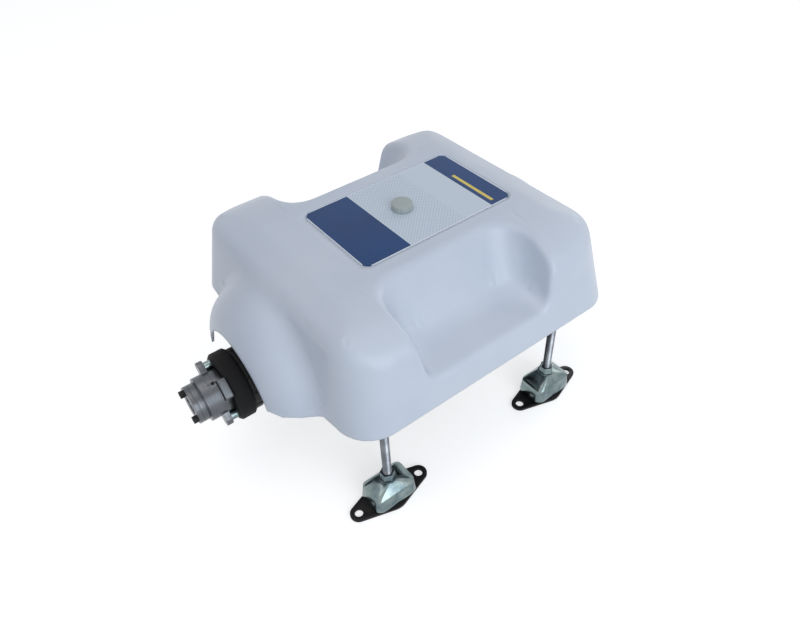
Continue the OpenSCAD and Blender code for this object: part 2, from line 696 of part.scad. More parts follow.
post_af = 16;
post_base_d = 30;
post_base_t = 4;
module cover_post() color([0.78, 0.79, 0.8]) at_frame() translate([0, knob_y, 0]) difference() {
    union() {
        translate([0, 0, post_z]) cylinder(d = post_af / cos(30), h = post_top - post_z, $fn = 6);
        translate([0, 0, post_z]) cylinder(d = post_base_d, h = post_base_t);
    }
    translate([0, 0, post_top - knob_screw_bite - post_base_t])
        cylinder(d = knob_screw_d + 2 * run_fit, h = knob_screw_bite + post_base_t + over);
}

// Rubber strips on the rails under the two recess floors
pad_w = 18;
pad_l = 90;
pad_x = web_x + web_t + pad_w / 2;
function pad_top(x) = settle([x, recess_y, recess_floor_z], [0, 0, 1], -cover_wall, 1, settle_n).z - seat_gap;
module cover_pads() color([0.13, 0.13, 0.14]) at_frame()
    for (s = [-1, 1]) translate([0, s * recess_y + pad_l / 2, 0]) rotate([90, 0, 0])
        linear_extrude(pad_l) polygon([
            [s * (pad_x - pad_w / 2), rail_top], [s * (pad_x + pad_w / 2), rail_top],
            [s * (pad_x + pad_w / 2), pad_top(pad_x + pad_w / 2)],
            [s * (pad_x - pad_w / 2), pad_top(pad_x - pad_w / 2)]]);

// A foot plate: two eyes joined to a round middle by straight tangents
module foot(x, y) {
    turn = acos((foot_w / 2 - foot_end_r) / (foot_hole_span / 2));
    mid = foot_w / 2 * [sin(turn), cos(turn)];
    tip = [foot_end_r * sin(turn), foot_hole_span / 2 + foot_end_r * cos(turn)];
    color([0.1, 0.1, 0.11]) at_frame() translate([x, y, 0]) linear_extrude(foot_t) difference() {
        union() {
            circle(d = foot_w);
            polygon([mid, tip, [-tip.x, tip.y], [-mid.x, mid.y],
                -mid, -tip, [tip.x, -tip.y], [mid.x, -mid.y]]);
            for (s = [-1, 1]) translate([0, s * foot_hole_span / 2]) circle(foot_end_r);
        }
        for (s = [-1, 1]) translate([0, s * foot_hole_span / 2]) circle(d = foot_hole_d);
    }
}

cap_r = 12;
cap_top_r = 8;
cap_rim_w = cap_top_w / 2;
cap_rim_l = cap_top_l / 3;
cap_lip = 0.4;
module level(w, l, r, z) {
    translate([0, 0, z]) linear_extrude(cap_lip) rounded(w, l, r, $fn = facets);
}

// The cap's outline, drawn in by an inset on every side
module cap_form(in) {
    hull() {
        level(cap_w - 2 * in, cap_l - 2 * in, cap_r - in, cap_z);
        level(cap_top_w - 2 * in, cap_top_l - 2 * in, cap_top_r - in, cap_shoulder_z - in);
    }
    hull() {
        level(cap_top_w - 2 * in, cap_top_l - 2 * in, cap_top_r - in, cap_shoulder_z - in);
        level(cap_rim_w - 2 * in, cap_rim_l - 2 * in, cap_top_r - in, cap_top_z - in - cap_lip);
    }
}

module cap(x, y) {
    color([0.78, 0.8, 0.8]) at_frame() translate([x, y, 0]) difference() {
        cap_form(0);
        cap_form(cap_sheet);
        translate([0, 0, cap_z - over]) linear_extrude(over + cap_lip)
            rounded(cap_w - 2 * cap_sheet, cap_l - 2 * cap_sheet, cap_r - cap_sheet, $fn = facets);
        translate([0, 0, cap_top_z - 2 * cap_sheet - over])
            cylinder(d = stud_d + 2 * bore_gap, h = 2 * cap_sheet + 2 * over);
    }
}

rubber_gap = 0.4;
module mount_rubbers() color([0.08, 0.08, 0.08]) at_frame()
    for (x = [-1, 1], y = stud_ys) translate([x * stud_x, y, 0]) difference() {
        hull() {
            level(cap_w - 2 * cap_sheet - 2 * rubber_gap, cap_l - 2 * cap_sheet - 2 * rubber_gap,
                cap_r - cap_sheet, foot_t);
            level(cap_w - 2 * cap_sheet - 2 * rubber_gap, cap_l - 2 * cap_sheet - 2 * rubber_gap,
                cap_r - cap_sheet, cap_z - cap_lip);
            level(cap_top_w - 2 * cap_sheet - 2 * rubber_gap, cap_top_l - 2 * cap_sheet - 2 * rubber_gap,
                cap_top_r - cap_sheet, cap_shoulder_z - cap_sheet - 2 * cap_lip);
        }
        translate([0, 0, foot_t + stud_d / 2]) cylinder(d = stud_d + run_fit, h = cap_top_z);
    }

module at_studs() {
    for (x = [-1, 1], y = stud_ys) translate([x * stud_x, y, 0]) children();
}

module mount_studs() color([0.72, 0.73, 0.75]) at_frame() at_studs()
    translate([0, 0, foot_t + stud_d / 2 + run_fit])
        cylinder(d = stud_d, h = stud_top_z - foot_t - stud_d / 2 - run_fit);

module cap_nuts() color([0.75, 0.76, 0.77]) at_frame() at_studs() translate([0, 0, cap_top_z]) {
    washer(stud_d);
    translate([0, 0, stud_d * washer_t_share]) hex_nut(stud_d);
}

module height_nuts() color([0.75, 0.76, 0.77]) at_frame() at_studs()
    translate([0, 0, rail_z - stud_d * (nut_h_share + washer_t_share)]) {
        hex_nut(stud_d);
        translate([0, 0, stud_d * nut_h_share]) washer(stud_d);
    }

module clamp_nuts() color([0.75, 0.76, 0.77]) at_frame() at_studs() translate([0, 0, rail_top]) {
    washer(stud_d);
    translate([0, 0, stud_d * washer_t_share]) hex_nut(stud_d);
}

// Screws that join the rails' webs to the cross plates, by plate and height
cross_y = rail_l / 2 - plate_t;
cross_drop = 12;
screw_zs = [rail_z - web_h + frame_screw_d * head_share, rail_z - cross_drop];
plate_ys = [front_plate_y, rear_plate_y, cross_y];
frame_screw_bite = 22;
slot_l = 56;
slot_h = 22;
module rail_form(s) {
    difference() {
        union() {
            translate([0, 0, rail_z]) linear_extrude(rail_t) {
                translate([s * (web_x + (rail_in + rail_out) / 2), 0]) rounded(rail_in + rail_out, rail_l, rail_r);
                translate([s * (web_x + rail_in / 2), 0]) square([rail_in, rail_l], center = true);
            }
            translate([s * (web_x + web_t / 2), 0, rail_z - web_h / 2])
                cube([web_t, rail_l, web_h], center = true);
        }
        for (y = stud_ys) translate([s * stud_x, y, rail_z - over])
            cylinder(d = stud_d + 2 * bore_gap, h = rail_t + 2 * over);
        for (y = plate_ys, z = screw_zs) translate([s * (web_x - over), y + plate_t / 2, z])
            rotate([0, s * 90, 0]) cylinder(d = frame_screw_d + 2 * bore_gap, h = web_t + 2 * over);
        for (y = [front_plate_y + rear_plate_y, rear_plate_y + cross_y] / 2)
            translate([s * (web_x + web_t + over), y + plate_t / 2, rail_z - web_h / 2])
                rotate([0, -s * 90, 0]) linear_extrude(web_t + 2 * over) rounded(slot_h, slot_l, slot_h / 2 - over);
    }
}

module right_rail() color([0.62, 0.64, 0.67]) at_frame() rail_form(1);
module left_rail() color([0.62, 0.64, 0.67]) at_frame() rail_form(-1);

module frame_screw_holes(y) {
    for (s = [-1, 1], z = screw_zs) translate([s * (web_x - frame_screw_bite), y + plate_t / 2, z])
        rotate([0, s * 90, 0]) cylinder(d = frame_screw_d + 2 * run_fit, h = frame_screw_bite + over);
}

// Holes of the screws between the plates and the motor's end bells
motor_screw_n = 4;
motor_screw_r = 72;
motor_screw_d = 8;
thrust_screw_in = 9;
thrust_screw_r = thrust_flange_d / 2 - thrust_screw_in;
thrust_turn = 7.5;
thrust_screw_d = 6;
plate_hole_gap = 12;
module screw_ring(a, n, r, d) {
    for (i = [0:n - 1]) rotate(a + i * 360 / n) translate([r, 0]) circle(d = d);
}

wing_low = shaft_z - rail_z + web_h;
plate_rim = 4;
plate_half = motor_r + plate_rim;
plate_neck = 2;
module front_plate() color([0.6, 0.62, 0.65]) at_frame() difference() {
    slab(front_plate_y, plate_t) difference() {
        union() {
            translate([-web_x, -wing_low]) square([2 * web_x, rail_z + wing_low - shaft_z]);
            intersection() {
                circle(plate_half);
                translate([-plate_half, -plate_low]) square([2 * plate_half, plate_low + plate_half]);
            }
        }
        circle(front_bearing_d / 2 - front_bearing_seat);
        screw_ring(45, motor_screw_n, motor_screw_r, motor_screw_d + 2 * bore_gap);
        screw_ring(thrust_turn, rib_n, thrust_screw_r, thrust_screw_d + 2 * run_fit);
        for (s = [-1, 1]) translate([s * (plate_half + plate_hole_gap * 2), (rail_z - wing_low - shaft_z) / 2])
            circle(plate_hole_gap);
    }
    frame_screw_holes(front_plate_y);
}

front_bearing_seat = 6;
rear_bearing_seat = 5;
module rear_plate() color([0.6, 0.62, 0.65]) at_frame() difference() {
    slab(rear_plate_y, plate_t) difference() {
        union() {
            translate([-web_x, -wing_low]) square([2 * web_x, rail_z + wing_low - shaft_z]);
            circle(cowl_d / 2 + plate_neck);
        }
        circle(rear_bearing_d / 2 - rear_bearing_seat);
        screw_ring(45, motor_screw_n, motor_screw_r, motor_screw_d + 2 * bore_gap);
        for (i = [0:3]) rotate(i * 90) translate([fan_d / 3, 0]) circle(plate_hole_gap);
        for (s = [-1, 1]) translate([s * (plate_half + plate_hole_gap * 2), (rail_z - wing_low - shaft_z) / 2])
            circle(plate_hole_gap);
    }
    frame_screw_holes(rear_plate_y);
}

cross_slot = 56;
module rear_crossmember() color([0.6, 0.62, 0.65]) at_frame() difference() {
    slab(cross_y, plate_t) difference() {
        translate([-web_x, -wing_low]) square([2 * web_x, rail_z + wing_low - shaft_z]);
        for (s = [-1, 0, 1]) translate([s * (cross_slot + slot_h), rail_z - web_h / 2 - shaft_z])
            rounded(cross_slot, slot_h, slot_h / 2 - over);
    }
    frame_screw_holes(cross_y);
}

module frame_screws() color([0.3, 0.31, 0.33]) at_frame()
    for (s = [-1, 1], y = plate_ys, z = screw_zs) translate([s * (web_x + web_t), y + plate_t / 2, z])
        rotate([0, -s * 90, 0]) socket_screw(frame_screw_d, web_t + frame_screw_bite - over);

// The motor: a finned housing between two end bells
fin_n = 40;
fin_gap_share = 0.55;
land_left = 64;
land_right = 20;
module motor_housing() color([0.28, 0.3, 0.33]) at_frame() slab(housing_y, motor_l) difference() {
    union() {
        difference() {
            circle(motor_r);
            for (i = [0:fin_n - 1]) rotate(i * 360 / fin_n)
                translate([motor_bore_r + motor_wall, -PI * motor_r / fin_n * fin_gap_share])
                    square([motor_r, 2 * PI * motor_r / fin_n * fin_gap_share]);
        }
        translate([-land_left, 0]) square([land_left + land_right, land_h]);
    }
    circle(motor_bore_r);
}

spigot_l = 4;
tap_depth = 14;
module bell(r_seat, seat_l, bore, front) {
    difference() {
        union() {
            barrel(motor_bore_r + motor_wall, front ? front_bell_y : rear_bell_y, bell_l);
            barrel(motor_bore_r - run_fit, front ? front_bell_y : rear_bell_y - spigot_l, bell_l + spigot_l);
        }
        barrel(r_seat + run_fit, front ? front_bell_y - over : rear_plate_y - seat_l, seat_l + over);
        barrel(bore, front_bell_y - over, rear_plate_y - front_bell_y + 2 * over);
        slab(front ? front_bell_y - over : rear_plate_y - tap_depth, tap_depth + over)
            screw_ring(45, motor_screw_n, motor_screw_r, motor_screw_d + 2 * run_fit);
        slab(front ? front_bell_y + bell_l - spigot_l : rear_bell_y - spigot_l - over, 2 * spigot_l + over)
            difference() {
                circle(motor_bore_r - 2 * spigot_l);
                circle(r_seat + spigot_l);
            }
    }
}

shoulder_gap = 2;
module front_end_bell() color([0.3, 0.32, 0.35]) at_frame()
    bell(front_bearing_d / 2, front_bearing_w, rotor_seat_d / 2 + shoulder_gap, true);

module rear_end_bell() color([0.3, 0.32, 0.35]) at_frame()
    bell(rear_bearing_d / 2, rear_bearing_w, rotor_seat_d / 2 + shoulder_gap, false);

slot_n = 18;
slot_fill = 0.4;
yoke = 10;
tooth_tip = 2;
slot_w_share = 0.5;
stator_y = housing_y + (motor_l - stator_l) / 2;
slot_r = motor_bore_r - yoke;
// Slots between the stator's teeth, narrower by a gap for the wire that fills them
module stator_slots(in) {
    w = 2 * PI * stator_bore_r / slot_n * slot_w_share;
    for (i = [0:slot_n - 1]) rotate(i * 360 / slot_n)
        translate([stator_bore_r + tooth_tip + in, -w / 2 + in]) square([slot_r - stator_bore_r - tooth_tip - 2 * in, w - 2 * in]);
}

module stator_core() color([0.45, 0.47, 0.5]) at_frame() slab(stator_y, stator_l) difference() {
    circle(motor_bore_r - run_fit);
    circle(stator_bore_r);
    stator_slots(0);
}

winding_l = 16;
winding_gap = 2;
module stator_windings() color([0.72, 0.38, 0.18]) at_frame() {
    slab(stator_y - winding_gap - over, stator_l + 2 * winding_gap + 2 * over) stator_slots(slot_fill);
    for (y = [stator_y - winding_gap - winding_l, stator_y + stator_l + winding_gap])
        slab(y, winding_l) difference() {
            circle(slot_r);
            circle(stator_bore_r + tooth_tip);
        }
}

rotor_r = stator_bore_r - air_gap - magnet_t;
rotor_hole_n = 6;
rotor_hole_r = (rotor_r - rotor_seat_d / 2) / 4;
rotor_over = 2;
module rotor_core() color([0.5, 0.52, 0.54]) at_frame()
    slab(stator_y - rotor_over, stator_l + 2 * rotor_over) difference() {
        circle(rotor_r);
        circle(rotor_seat_d / 2 + run_fit);
        screw_ring(0, rotor_hole_n, (rotor_r + rotor_seat_d / 2) / 2, 2 * rotor_hole_r);
    }

pole_n = 8;
pole_gap = 3;
module rotor_magnets() color([0.35, 0.36, 0.38]) at_frame() slab(stator_y, stator_l) difference() {
    circle(stator_bore_r - air_gap);
    circle(rotor_r + run_fit);
    for (i = [0:pole_n - 1]) rotate(i * 360 / pole_n) translate([0, -pole_gap / 2])
        square([motor_r, pole_gap]);
}

// The shaft, with its seats, the fan's end and the flange's end
fan_seat_d = 20;
fan_gap = 3;
fan_y = cowl_y + fan_gap;
shaft_end_gap = 3;
shaft_front = flange_y + shaft_end_gap;
front_seat_y = front_bell_y + front_bearing_w;
rear_seat_y = rear_plate_y - rear_bearing_w;
end_screw_d = 10;
end_screw_l = 22;
module output_shaft() color([0.75, 0.76, 0.78]) at_frame() difference() {
    union() {
        barrel(shaft_r, shaft_front, front_seat_y - shaft_front + over);
        barrel(rotor_seat_d / 2, front_seat_y, rear_seat_y - front_seat_y);
        barrel(rear_seat_d / 2, rear_seat_y - over, rear_plate_y + plate_t - rear_seat_y);
        barrel(fan_seat_d / 2, rear_plate_y, fan_y + fan_w - rear_plate_y);
    }
    barrel(end_screw_d / 2 + run_fit, shaft_front - over, end_screw_l + 2 * over);
}

// Bearings as [start, bore, outside, width, ball count]
seal_l = 10;
seal_shoulder = 4;
thrust_seat_y = thrust_y + seal_l + seal_shoulder;
bearings = [[thrust_seat_y, shaft_d, front_bearing_d, front_bearing_w, 9],
    [front_bell_y, shaft_d, front_bearing_d, front_bearing_w, 9],
    [rear_plate_y - rear_bearing_w, rear_seat_d, rear_bearing_d, rear_bearing_w, 8]];
ring_share = 0.36;
ball_share = 0.3;
function pitch_r(b) = (b[1] + b[2]) / 4;
function ball_r(b) = (b[2] - b[1]) / 2 * ball_share;
module race(b, r0, r1) {
    translate([0, b[0] + b[3], shaft_z]) rotate([90, 0, 0]) rotate_extrude() difference() {
        translate([r0, 0]) square([r1 - r0, b[3]]);
        translate([pitch_r(b), b[3] / 2]) circle(ball_r(b) + seat_gap);
    }
}

module bearing_outer_rings() color([0.8, 0.81, 0.83]) at_frame()
    for (b = bearings) race(b, b[2] / 2 - (b[2] - b[1]) / 4 * ring_share * 1.5, b[2] / 2);

module bearing_inner_rings() color([0.8, 0.81, 0.83]) at_frame()
    for (b = bearings) race(b, b[1] / 2 + run_fit, b[1] / 2 + (b[2] - b[1]) / 4 * ring_share * 1.5);

module bearing_balls() color([0.85, 0.86, 0.88]) at_frame()
    for (b = bearings, i = [0:b[4] - 1]) turned(i * 360 / b[4])
        translate([pitch_r(b), b[0] + b[3] / 2, shaft_z]) sphere(ball_r(b), $fn = ball_facets);

// The thrust housing carries the front bearing and the seal
thrust_flange_t = 10;
seal_t = 8;
seal_r = shaft_r + seal_t;
rib_n = 6;
rib_t = 8;
rib_reach = 14;
rib_l = 42;
thrust_front = front_plate_y - thrust_flange_t;
module thrust_housing() color([0.55, 0.57, 0.6]) at_frame() difference() {
    union() {
        barrel(thrust_r, thrust_y, thrust_l);
        barrel(thrust_flange_d / 2, thrust_front, thrust_flange_t);
        for (i = [0:rib_n - 1]) turned(thrust_turn + (i + 0.5) * 360 / rib_n)
            translate([0, 0, shaft_z - rib_t / 2]) linear_extrude(rib_t) polygon([
                [thrust_r - rib_t / 2, thrust_front - rib_l], [thrust_r, thrust_front - rib_l],
                [thrust_r + rib_reach, thrust_front + over], [thrust_r - rib_t / 2, thrust_front + over]]);
    }
    barrel(front_bearing_d / 2 + run_fit, thrust_seat_y, thrust_l);
    barrel(seal_r + run_fit, thrust_y - over, seal_l + over);
    barrel(shaft_r + shoulder_gap, thrust_y - over, thrust_l);
    slab(thrust_front - over, thrust_flange_t + 2 * over)
        screw_ring(thrust_turn, rib_n, thrust_screw_r, thrust_screw_d + 2 * bore_gap);
}

module shaft_seal() color([0.12, 0.12, 0.13]) at_frame() difference() {
    barrel(seal_r, thrust_y, seal_l);
    barrel(shaft_r + run_fit, thrust_y - over, seal_l + 2 * over);
}

// Screws of the thrust housing and of both end bells
module motor_screws() color([0.3, 0.31, 0.33]) at_frame() {
    for (i = [0:motor_screw_n - 1]) turned(45 + i * 360 / motor_screw_n) {
        translate([motor_screw_r, front_plate_y, shaft_z]) rotate([-90, 0, 0])
            socket_screw(motor_screw_d, plate_t + tap_depth - over);
        translate([motor_screw_r, rear_plate_y + plate_t, shaft_z]) rotate([90, 0, 0])
            socket_screw(motor_screw_d, plate_t + tap_depth - over);
    }
    for (i = [0:rib_n - 1]) turned(thrust_turn + i * 360 / rib_n)
        translate([thrust_screw_r, thrust_front, shaft_z]) rotate([-90, 0, 0])
            socket_screw(thrust_screw_d, plate_t + thrust_flange_t - over);
}

blade_n = 9;
blade_t = 2;
blade_lean = 30;
fan_hub_d = 44;
fan_web = 2;
module fan() color([0.85, 0.85, 0.83]) at_frame() difference() {
    union() {
        barrel(fan_hub_d / 2, fan_y, fan_w);
        barrel(fan_d / 2, fan_y, fan_web);
        slab(fan_y, fan_w) intersection() {
            circle(fan_d / 2);
            for (i = [0:blade_n - 1]) rotate(i * 360 / blade_n) translate([fan_hub_d / 2 - blade_t, 0])
                rotate(blade_lean) square([fan_d / 2, blade_t]);
        }
    }
    barrel(fan_seat_d / 2 + run_fit, fan_y - over, fan_w + 2 * over);
}

cowl_sheet = 1.5;
vent_n = 24;
vent_w = 5;
vent_in = 26;
vent_out = 8;
module fan_cowl() color([0.2, 0.21, 0.23]) at_frame() difference() {
    barrel(cowl_d / 2, cowl_y, cowl_l);
    barrel(cowl_d / 2 - cowl_sheet, cowl_y - over, cowl_l - cowl_sheet + over);
    slab(cowl_y, cowl_l + over) for (i = [0:vent_n - 1]) rotate(i * 360 / vent_n)
        translate([vent_in, -vent_w / 2]) square([cowl_d / 2 - vent_out - vent_in, vent_w]);
}

// The terminal block stands on the housing's land, the bars run back to the controller
block_in = 4;
block_back = 44;
block_y = rear_bell_y - block_back;
block_l = 34;
block_h = 16;
bar_x = land_left - bar_pitch / 2 - block_in;
bar_xs = [for (i = [0:2]) i * bar_pitch - bar_x];
bar_z = post_z + block_h;
bar_stud_d = 6;
block_wall = 3;
module terminal_block() color([0.75, 0.45, 0.2]) at_frame() difference() {
    translate([bar_xs[0] - bar_pitch / 2, block_y, post_z])
        cube([3 * bar_pitch, block_l, block_h]);
    for (x = bar_xs) translate([x, block_y + block_l / 2, bar_z - block_h / 2])
        cylinder(d = bar_stud_d + 2 * run_fit, h = block_h);
    for (i = [1, 2]) translate([bar_xs[0] - bar_pitch / 2 + i * bar_pitch - block_wall / 4, block_y - over, bar_z - block_wall])
        cube([block_wall / 2, block_l + 2 * over, block_wall + over]);
}

ctrl_y = tray_y + block_wall;
term_in = 14;
ctrl_term_y = ctrl_y + term_in;
module phase_bars() color([0.8, 0.5, 0.3]) at_frame() for (x = bar_xs) difference() {
    translate([x - bar_w / 2, block_y + block_l / 2 - bar_w / 2, bar_z])
        cube([bar_w, ctrl_term_y - block_y - block_l / 2 + bar_w, bar_t]);
    for (y = [block_y + block_l / 2, ctrl_term_y]) translate([x, y, bar_z - over])
        cylinder(d = bar_stud_d + 2 * run_fit, h = bar_t + 2 * over);
}

tray_side = 18;
tray_w = 2 * (web_x + tray_side);
tray_lip = 12;
module controller_tray() color([0.6, 0.62, 0.65]) at_frame() difference() {
    union() {
        translate([-tray_w / 2, tray_y, rail_top]) cube([tray_w, rail_l / 2 - tray_y, tray_t]);
        translate([-web_x + over, tray_y, rail_top - tray_lip]) cube([2 * web_x - 2 * over, tray_t, tray_lip + over]);
    }
    for (i = [-1, 0, 1]) translate([i * (cross_slot + slot_h), (tray_y + rail_l / 2) / 2, rail_top - over])
        linear_extrude(tray_t + 2 * over) rounded(cross_slot, slot_h, slot_h / 2 - over);
}

ctrl_r = 8;
module controller_base() color([0.5, 0.52, 0.55]) at_frame()
    translate([0, ctrl_y + ctrl_l / 2, tray_top]) linear_extrude(ctrl_base_t) rounded(ctrl_w, ctrl_l, ctrl_r);

ctrl_inset = 6;
ctrl_top = tray_top + ctrl_base_t + ctrl_h;
ctrl_step = 14;
fin_n_ctrl = 4;
fin_step = 12;
module controller_housing() color([0.09, 0.09, 0.1]) at_frame()
    translate([0, ctrl_y + ctrl_l / 2, tray_top + ctrl_base_t]) difference() {
        linear_extrude(ctrl_h) rounded(ctrl_w - 2 * ctrl_inset, ctrl_l - 2 * ctrl_inset, ctrl_r);
        translate([0, 0, ctrl_h - block_wall]) for (i = [-fin_n_ctrl:fin_n_ctrl]) translate([i * fin_step, ctrl_step, 0])
            linear_extrude(block_wall + over) rounded(fin_step / 2, ctrl_l / 2, fin_step / 4 - run_fit);
    }

// Posts up to the bars, and studs with nuts on the block and on the controller
post_d = 13;
battery_x = 46;
battery_pitch = 30;
battery_stud_d = 8;
module controller_terminals() color([0.78, 0.66, 0.4]) at_frame() {
    for (x = bar_xs) {
        translate([x, ctrl_term_y, ctrl_top]) cylinder(d = post_d, h = bar_z - ctrl_top);
        for (y = [block_y + block_l / 2, ctrl_term_y]) translate([x, y, 0]) {
            translate([0, 0, y == ctrl_term_y ? ctrl_top : bar_z - block_h / 2 + run_fit])
                cylinder(d = bar_stud_d, h = bar_z + 2 * bar_stud_d - (y == ctrl_term_y ? ctrl_top : bar_z - block_h / 2 + run_fit));
            translate([0, 0, bar_z + bar_t]) cylinder(d = bar_stud_d * nut_share, h = bar_stud_d * nut_h_share, $fn = 6);
        }
    }
    for (x = [battery_x, battery_x + battery_pitch]) translate([x, ctrl_term_y, ctrl_top]) {
        cylinder(d = post_d, h = post_d / 2);
        cylinder(d = battery_stud_d, h = post_d * 3 / 2);
    }
}

// Cable outlet under the rear nose
gland_d = 22;
gland_bore_share = 0.45;
gland_body_share = 0.7;
gland_cap_share = 0.85;
gland_pitch = 34;
gland_xs = [for (i = [-1:1]) i * gland_pitch];
gland_plate_y = rail_l / 2;
gland_plate_w = 110;
gland_plate_h = 44;
gland_plate_t = 4;
module gland_bracket() color([0.6, 0.62, 0.65]) at_frame() difference() {
    translate([-gland_plate_w / 2, gland_plate_y, rail_z - gland_plate_h])
        cube([gland_plate_w, gland_plate_t, 2 * gland_plate_h]);
    for (x = gland_xs) pin_y(gland_d * gland_body_share + 2 * run_fit, x, gland_plate_y - over, rail_z + gland_plate_h / 2, gland_plate_t + 2 * over);
}

module cable_glands() color([0.1, 0.1, 0.11]) at_frame() for (x = gland_xs)
    translate([x, gland_plate_y, rail_z + gland_plate_h / 2]) rotate([-90, 0, 0]) difference() {
        union() {
            translate([0, 0, -gland_d / 3]) cylinder(d = gland_d, h = gland_d / 3, $fn = 6);
            translate([0, 0, -over]) cylinder(d = gland_d * gland_body_share, h = gland_plate_t + 2 * over);
            translate([0, 0, gland_plate_t]) cylinder(d = gland_d, h = gland_d / 3, $fn = 6);
            translate([0, 0, gland_plate_t]) cylinder(d = gland_d * gland_cap_share, h = gland_d);
        }
        translate([0, 0, -gland_d]) cylinder(d = gland_d * gland_bore_share, h = 3 * gland_d);
    }

// The coupling: flange, rubber disc with bonded spacers, and hub
notch_n = 12;
notch_d = 7;
boss_in = 16;
boss_r = thrust_r - boss_in;
nut_room = 3;
module drive_flange() color([0.16, 0.16, 0.18]) at_frame() difference() {
    union() {
        barrel(flange_d / 2, flange_y, flange_t);
        barrel(boss_r, boss_y, flange_boss_l);
    }
    barrel(shaft_r + run_fit, flange_y - over, flange_t + flange_boss_l + 2 * over);
    slab(flange_y - over, flange_t + 2 * over) {
        for (i = [0:notch_n - 1]) rotate((i + 0.5) * 360 / notch_n) translate([flange_d / 2 + notch_d / 4, 0])
            circle(d = notch_d);
        for (a = [45, 225]) rotate(a) translate([bolt_r, 0]) circle(d = coupling_bolt_d + 2 * bore_gap);
        for (a = [135, 315]) rotate(a) translate([bolt_r, 0]) circle(d = coupling_bolt_d * nut_share + nut_room);
    }
}

flange_bolt_bite = 14;
end_washer_t = 3;
module flange_bolts() color([0.3, 0.31, 0.33]) at_frame() {
    for (a = [45, 225]) turned(a) translate([bolt_r, flange_y + flange_t, shaft_z]) rotate([90, 0, 0])
        socket_screw(coupling_bolt_d, flange_t + flange_bolt_bite);
    translate([0, flange_y - end_washer_t, shaft_z]) rotate([-90, 0, 0]) {
        difference() {
            cylinder(r = shaft_r + end_washer_t, h = end_washer_t);
            translate([0, 0, -over]) cylinder(d = end_screw_d + 2 * bore_gap, h = end_washer_t + 2 * over);
        }
        socket_screw(end_screw_d, end_washer_t + shaft_end_gap + end_screw_l);
    }
}

disc_bore_gap = 8;
disc_bore_r = shaft_r + disc_bore_gap;
disc_edge = 3;
module rubber_disc() color([0.06, 0.06, 0.06]) at_frame() difference() {
    translate([0, disc_y + disc_t, shaft_z]) rotate([90, 0, 0]) rotate_extrude() polygon([
        [disc_bore_r, 0], [disc_d / 2 - disc_edge, 0], [disc_d / 2, disc_edge],
        [disc_d / 2, disc_t - disc_edge], [disc_d / 2 - disc_edge, disc_t], [disc_bore_r, disc_t]]);
    for (a = [45, 225]) turned(a)
        pin_y(coupling_bolt_d + 2 * run_fit, bolt_r, disc_y + disc_t - flange_bolt_bite - over, shaft_z, flange_bolt_bite + 2 * over);
    for (a = [135, 315]) turned(a)
        pin_y(coupling_bolt_d + 2 * run_fit, bolt_r, disc_y - over, shaft_z, disc_t + 2 * over);
}

module coupling_spacers() color([0.85, 0.86, 0.85]) at_frame() for (a = [135, 315]) turned(a) difference() {
    pin_y(spacer_d, bolt_r, disc_y - spacer_l, shaft_z, spacer_l);
    pin_y(coupling_bolt_d + 2 * run_fit, bolt_r, disc_y - spacer_l - over, shaft_z, spacer_l + 2 * over);
}

module coupling_bolts() color([0.6, 0.61, 0.62]) at_frame() for (a = [135, 315]) turned(a) {
    translate([bolt_r, ear_y, shaft_z]) rotate([-90, 0, 0])
        cylinder(d = coupling_bolt_d, h = disc_y + disc_t - ear_y + coupling_bolt_d * nut_h_share);
    translate([bolt_r, disc_y + disc_t, shaft_z]) rotate([-90, 0, 0])
        cylinder(d = coupling_bolt_d * nut_share, h = coupling_bolt_d * nut_h_share, $fn = 6);
}

ear_r = 10;
lug_r = 4;
lug_reach = 45;
groove_w = 1.2;
groove_d = 1;
groove_in = 5;
clamp_r = 18;
clamp_screw_d = 5;
clamp_socket_d = 5;
clamp_l = 12;
set_screw_d = 5;
set_in = 14;
set_y = disc_y - set_in;
set_turn = 70;
module coupling_hub() color([0.55, 0.57, 0.59]) at_frame() difference() {
    union() {
        barrel(collar_d / 2, hub_y, collar_l + over);
        barrel(hub_d / 2, hub_y + collar_l, hub_l - collar_l - lug_gap);
        slab(ear_y, ear_t) for (a = [135, 315]) rotate(a) {
            translate([bolt_r, 0]) circle(ear_r);
            translate([0, -ear_r]) square([bolt_r, 2 * ear_r]);
        }
        slab(lug_y, lug_t) for (a = [45, 225]) rotate(a)
            translate([lug_reach / 2, 0]) rounded(lug_reach, lug_w, lug_r);
    }
    barrel(hub_bore_d / 2, hub_y - over, hub_bore_l + over);
    barrel(shaft_r + shoulder_gap, lug_y + lug_t - over * 2, 2 * over + lug_gap);
    for (y = [hub_y + groove_in, hub_y + collar_l - groove_w]) slab(y, groove_w) difference() {
        circle(collar_d);
        circle(collar_d / 2 - groove_d);
    }
    for (a = [135, 315]) turned(a) {
        pin_y(coupling_bolt_d + 2 * run_fit, bolt_r, ear_y - over, shaft_z, ear_t + 2 * over);
        pin_y(spacer_d + 2 * bore_gap, bolt_r, ear_y + ear_t, shaft_z, hub_l);
    }
    for (a = [135, 315]) turned(a)
        pin_y(clamp_screw_d + 2 * run_fit, clamp_r, hub_y - over, shaft_z, clamp_l + 2 * over);
    turned(set_turn) translate([0, set_y, shaft_z]) rotate([0, 90, 0]) cylinder(d = set_screw_d + 2 * run_fit, h = hub_d);
}

module clamp_screws() color([0.06, 0.06, 0.07]) at_frame() for (a = [135, 315]) turned(a)
    translate([clamp_r, hub_y, shaft_z]) rotate([-90, 0, 0]) difference() {
        union() {
            translate([0, 0, -clamp_head_h]) cylinder(d = clamp_head_d, h = clamp_head_h);
            cylinder(d = clamp_screw_d, h = clamp_l);
        }
        translate([0, 0, -clamp_head_h - over])
            cylinder(d = clamp_socket_d, h = clamp_head_h / 2 + over, $fn = 6);
    }

